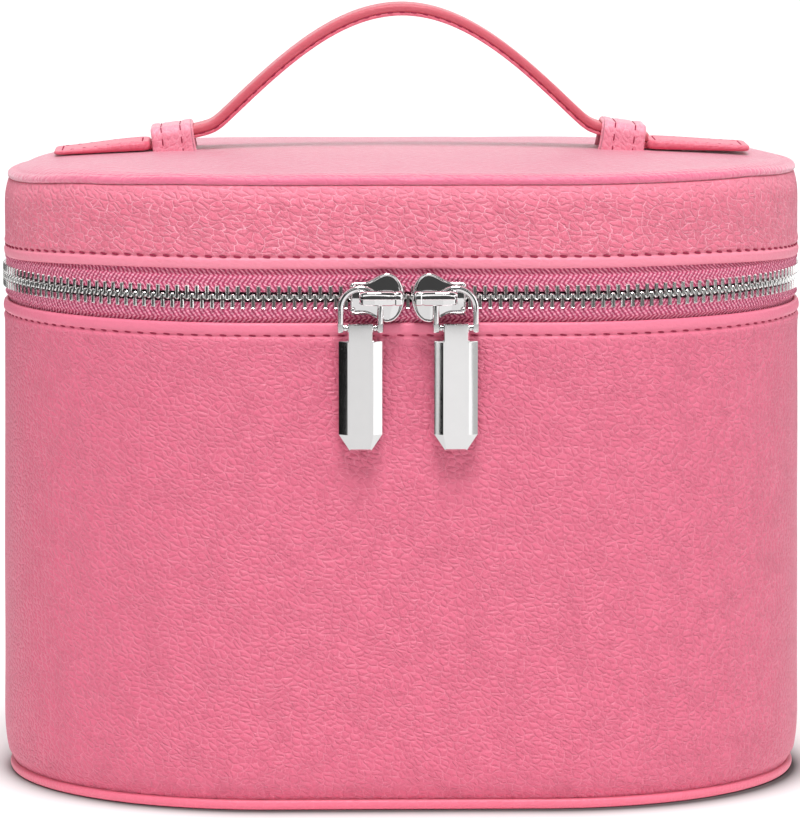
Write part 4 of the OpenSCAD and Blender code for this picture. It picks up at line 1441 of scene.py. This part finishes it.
def upright_card(name, start, end, low, high, brightness):
    """An upright card between two places (x, y)."""
    make_card(name, [(*start, low), (*end, low), (*end, high), (*start, high)], brightness)


def floor_card(name, left, right, near, far, brightness):
    height = 0.001
    corners = [(left, near, height), (right, near, height), (right, far, height), (left, far, height)]
    make_card(name, corners, brightness)


def make_light(name, place, target, size, power):
    data = bpy.data.lights.new(name, "AREA")
    data.shape = "RECTANGLE"
    data.size, data.size_y = size
    data.energy = power
    obj = add_object(name, data)
    obj.location = place
    aim(obj, Vector(target) - Vector(place))


def make_world():
    """White to the camera, soft grey to the leather, and bright behind but dark in front to reflections."""
    world = bpy.data.worlds.new("studio")
    world.use_nodes = True
    tree = world.node_tree
    tree.nodes.clear()
    new, link = tree.nodes.new, tree.links.new
    out, rays, where = new("ShaderNodeOutputWorld"), new("ShaderNodeLightPath"), new("ShaderNodeTexCoord")
    split = new("ShaderNodeSeparateXYZ")
    link(where.outputs["Generated"], split.inputs[0])
    front = new("ShaderNodeMapRange")
    front.interpolation_type = "SMOOTHSTEP"
    for i, value in zip((1, 2, 3, 4), (-0.35, 0.25, 0.07, 1.5)):
        front.inputs[i].default_value = value
    link(split.outputs[1], front.inputs[0])

    def background(strength):
        n = new("ShaderNodeBackground")
        n.inputs[0].default_value = (1, 1, 1, 1)
        n.inputs[1].default_value = strength
        return n

    seen, soft, shine = background(1.0), background(0.42), background(1.0)
    link(front.outputs[0], shine.inputs[1])
    first, second = new("ShaderNodeMixShader"), new("ShaderNodeMixShader")
    link(rays.outputs["Is Glossy Ray"], first.inputs[0])
    link(soft.outputs[0], first.inputs[1])
    link(shine.outputs[0], first.inputs[2])
    link(rays.outputs["Is Camera Ray"], second.inputs[0])
    link(first.outputs[0], second.inputs[1])
    link(seen.outputs[0], second.inputs[2])
    link(second.outputs[0], out.inputs[0])
    bpy.context.scene.world = world


def make_sun(elevation, azimuth, strength, spread):
    """Azimuth is measured from straight in front, positive to the right."""
    data = bpy.data.lights.new("sun", "SUN")
    data.energy = strength
    data.angle = math.radians(spread)
    e, a = math.radians(elevation), math.radians(azimuth)
    to_sun = Vector((math.sin(a) * math.cos(e), -math.cos(a) * math.cos(e), math.sin(e)))
    aim(add_object("sun", data), to_sun, "Z")


make_floor()
make_world()
make_sun(elevation=70, azimuth=2, strength=2.95, spread=22)
make_light("front_box", (-0.06, -0.62, 0.50), (0, -0.06, 0.15), (0.8, 0.22), 0.6)
make_light("right_fill", (0.85, -0.25, 0.35), (0.10, 0, 0.10), (0.6, 0.6), 0.9)
make_light("left_fill", (-0.85, -0.25, 0.35), (-0.10, 0, 0.10), (0.6, 0.6), 0.45)
upright_card("left_card", (-0.482, -0.391), (-0.3745, -0.499), 0.0, 0.40, 0.01)
upright_card("left_card_inner", (-0.3650, -0.5085), (-0.320, -0.5535), 0.0, 0.40, 0.01)
upright_card("left_shade", (-0.90, -0.50), (-0.30, 1.00), 0.0, 0.40, 0.08)
upright_card("right_shade", (0.90, 0.10), (0.30, 1.00), 0.0, 0.32, 0.3)
upright_card("right_glow", (0.42, -1.30), (1.35, -0.55), 0.0, 1.0, 1.3)
upright_card("front_card", (-0.6, -0.58), (0.6, -0.58), 0.084, 0.50, 0.06)
upright_card("right_card", (0.389, -0.457), (0.470, -0.376), 0.0, 0.30, 0.55)
floor_card("floor_card_left", -0.8, 0.03, -0.13, -2.2, 0.84)
floor_card("floor_card_right", 0.03, 0.5, -0.13, -2.2, 0.95)

scene = bpy.context.scene
scene.view_settings.view_transform = "Standard"
scene.view_settings.look = "None"
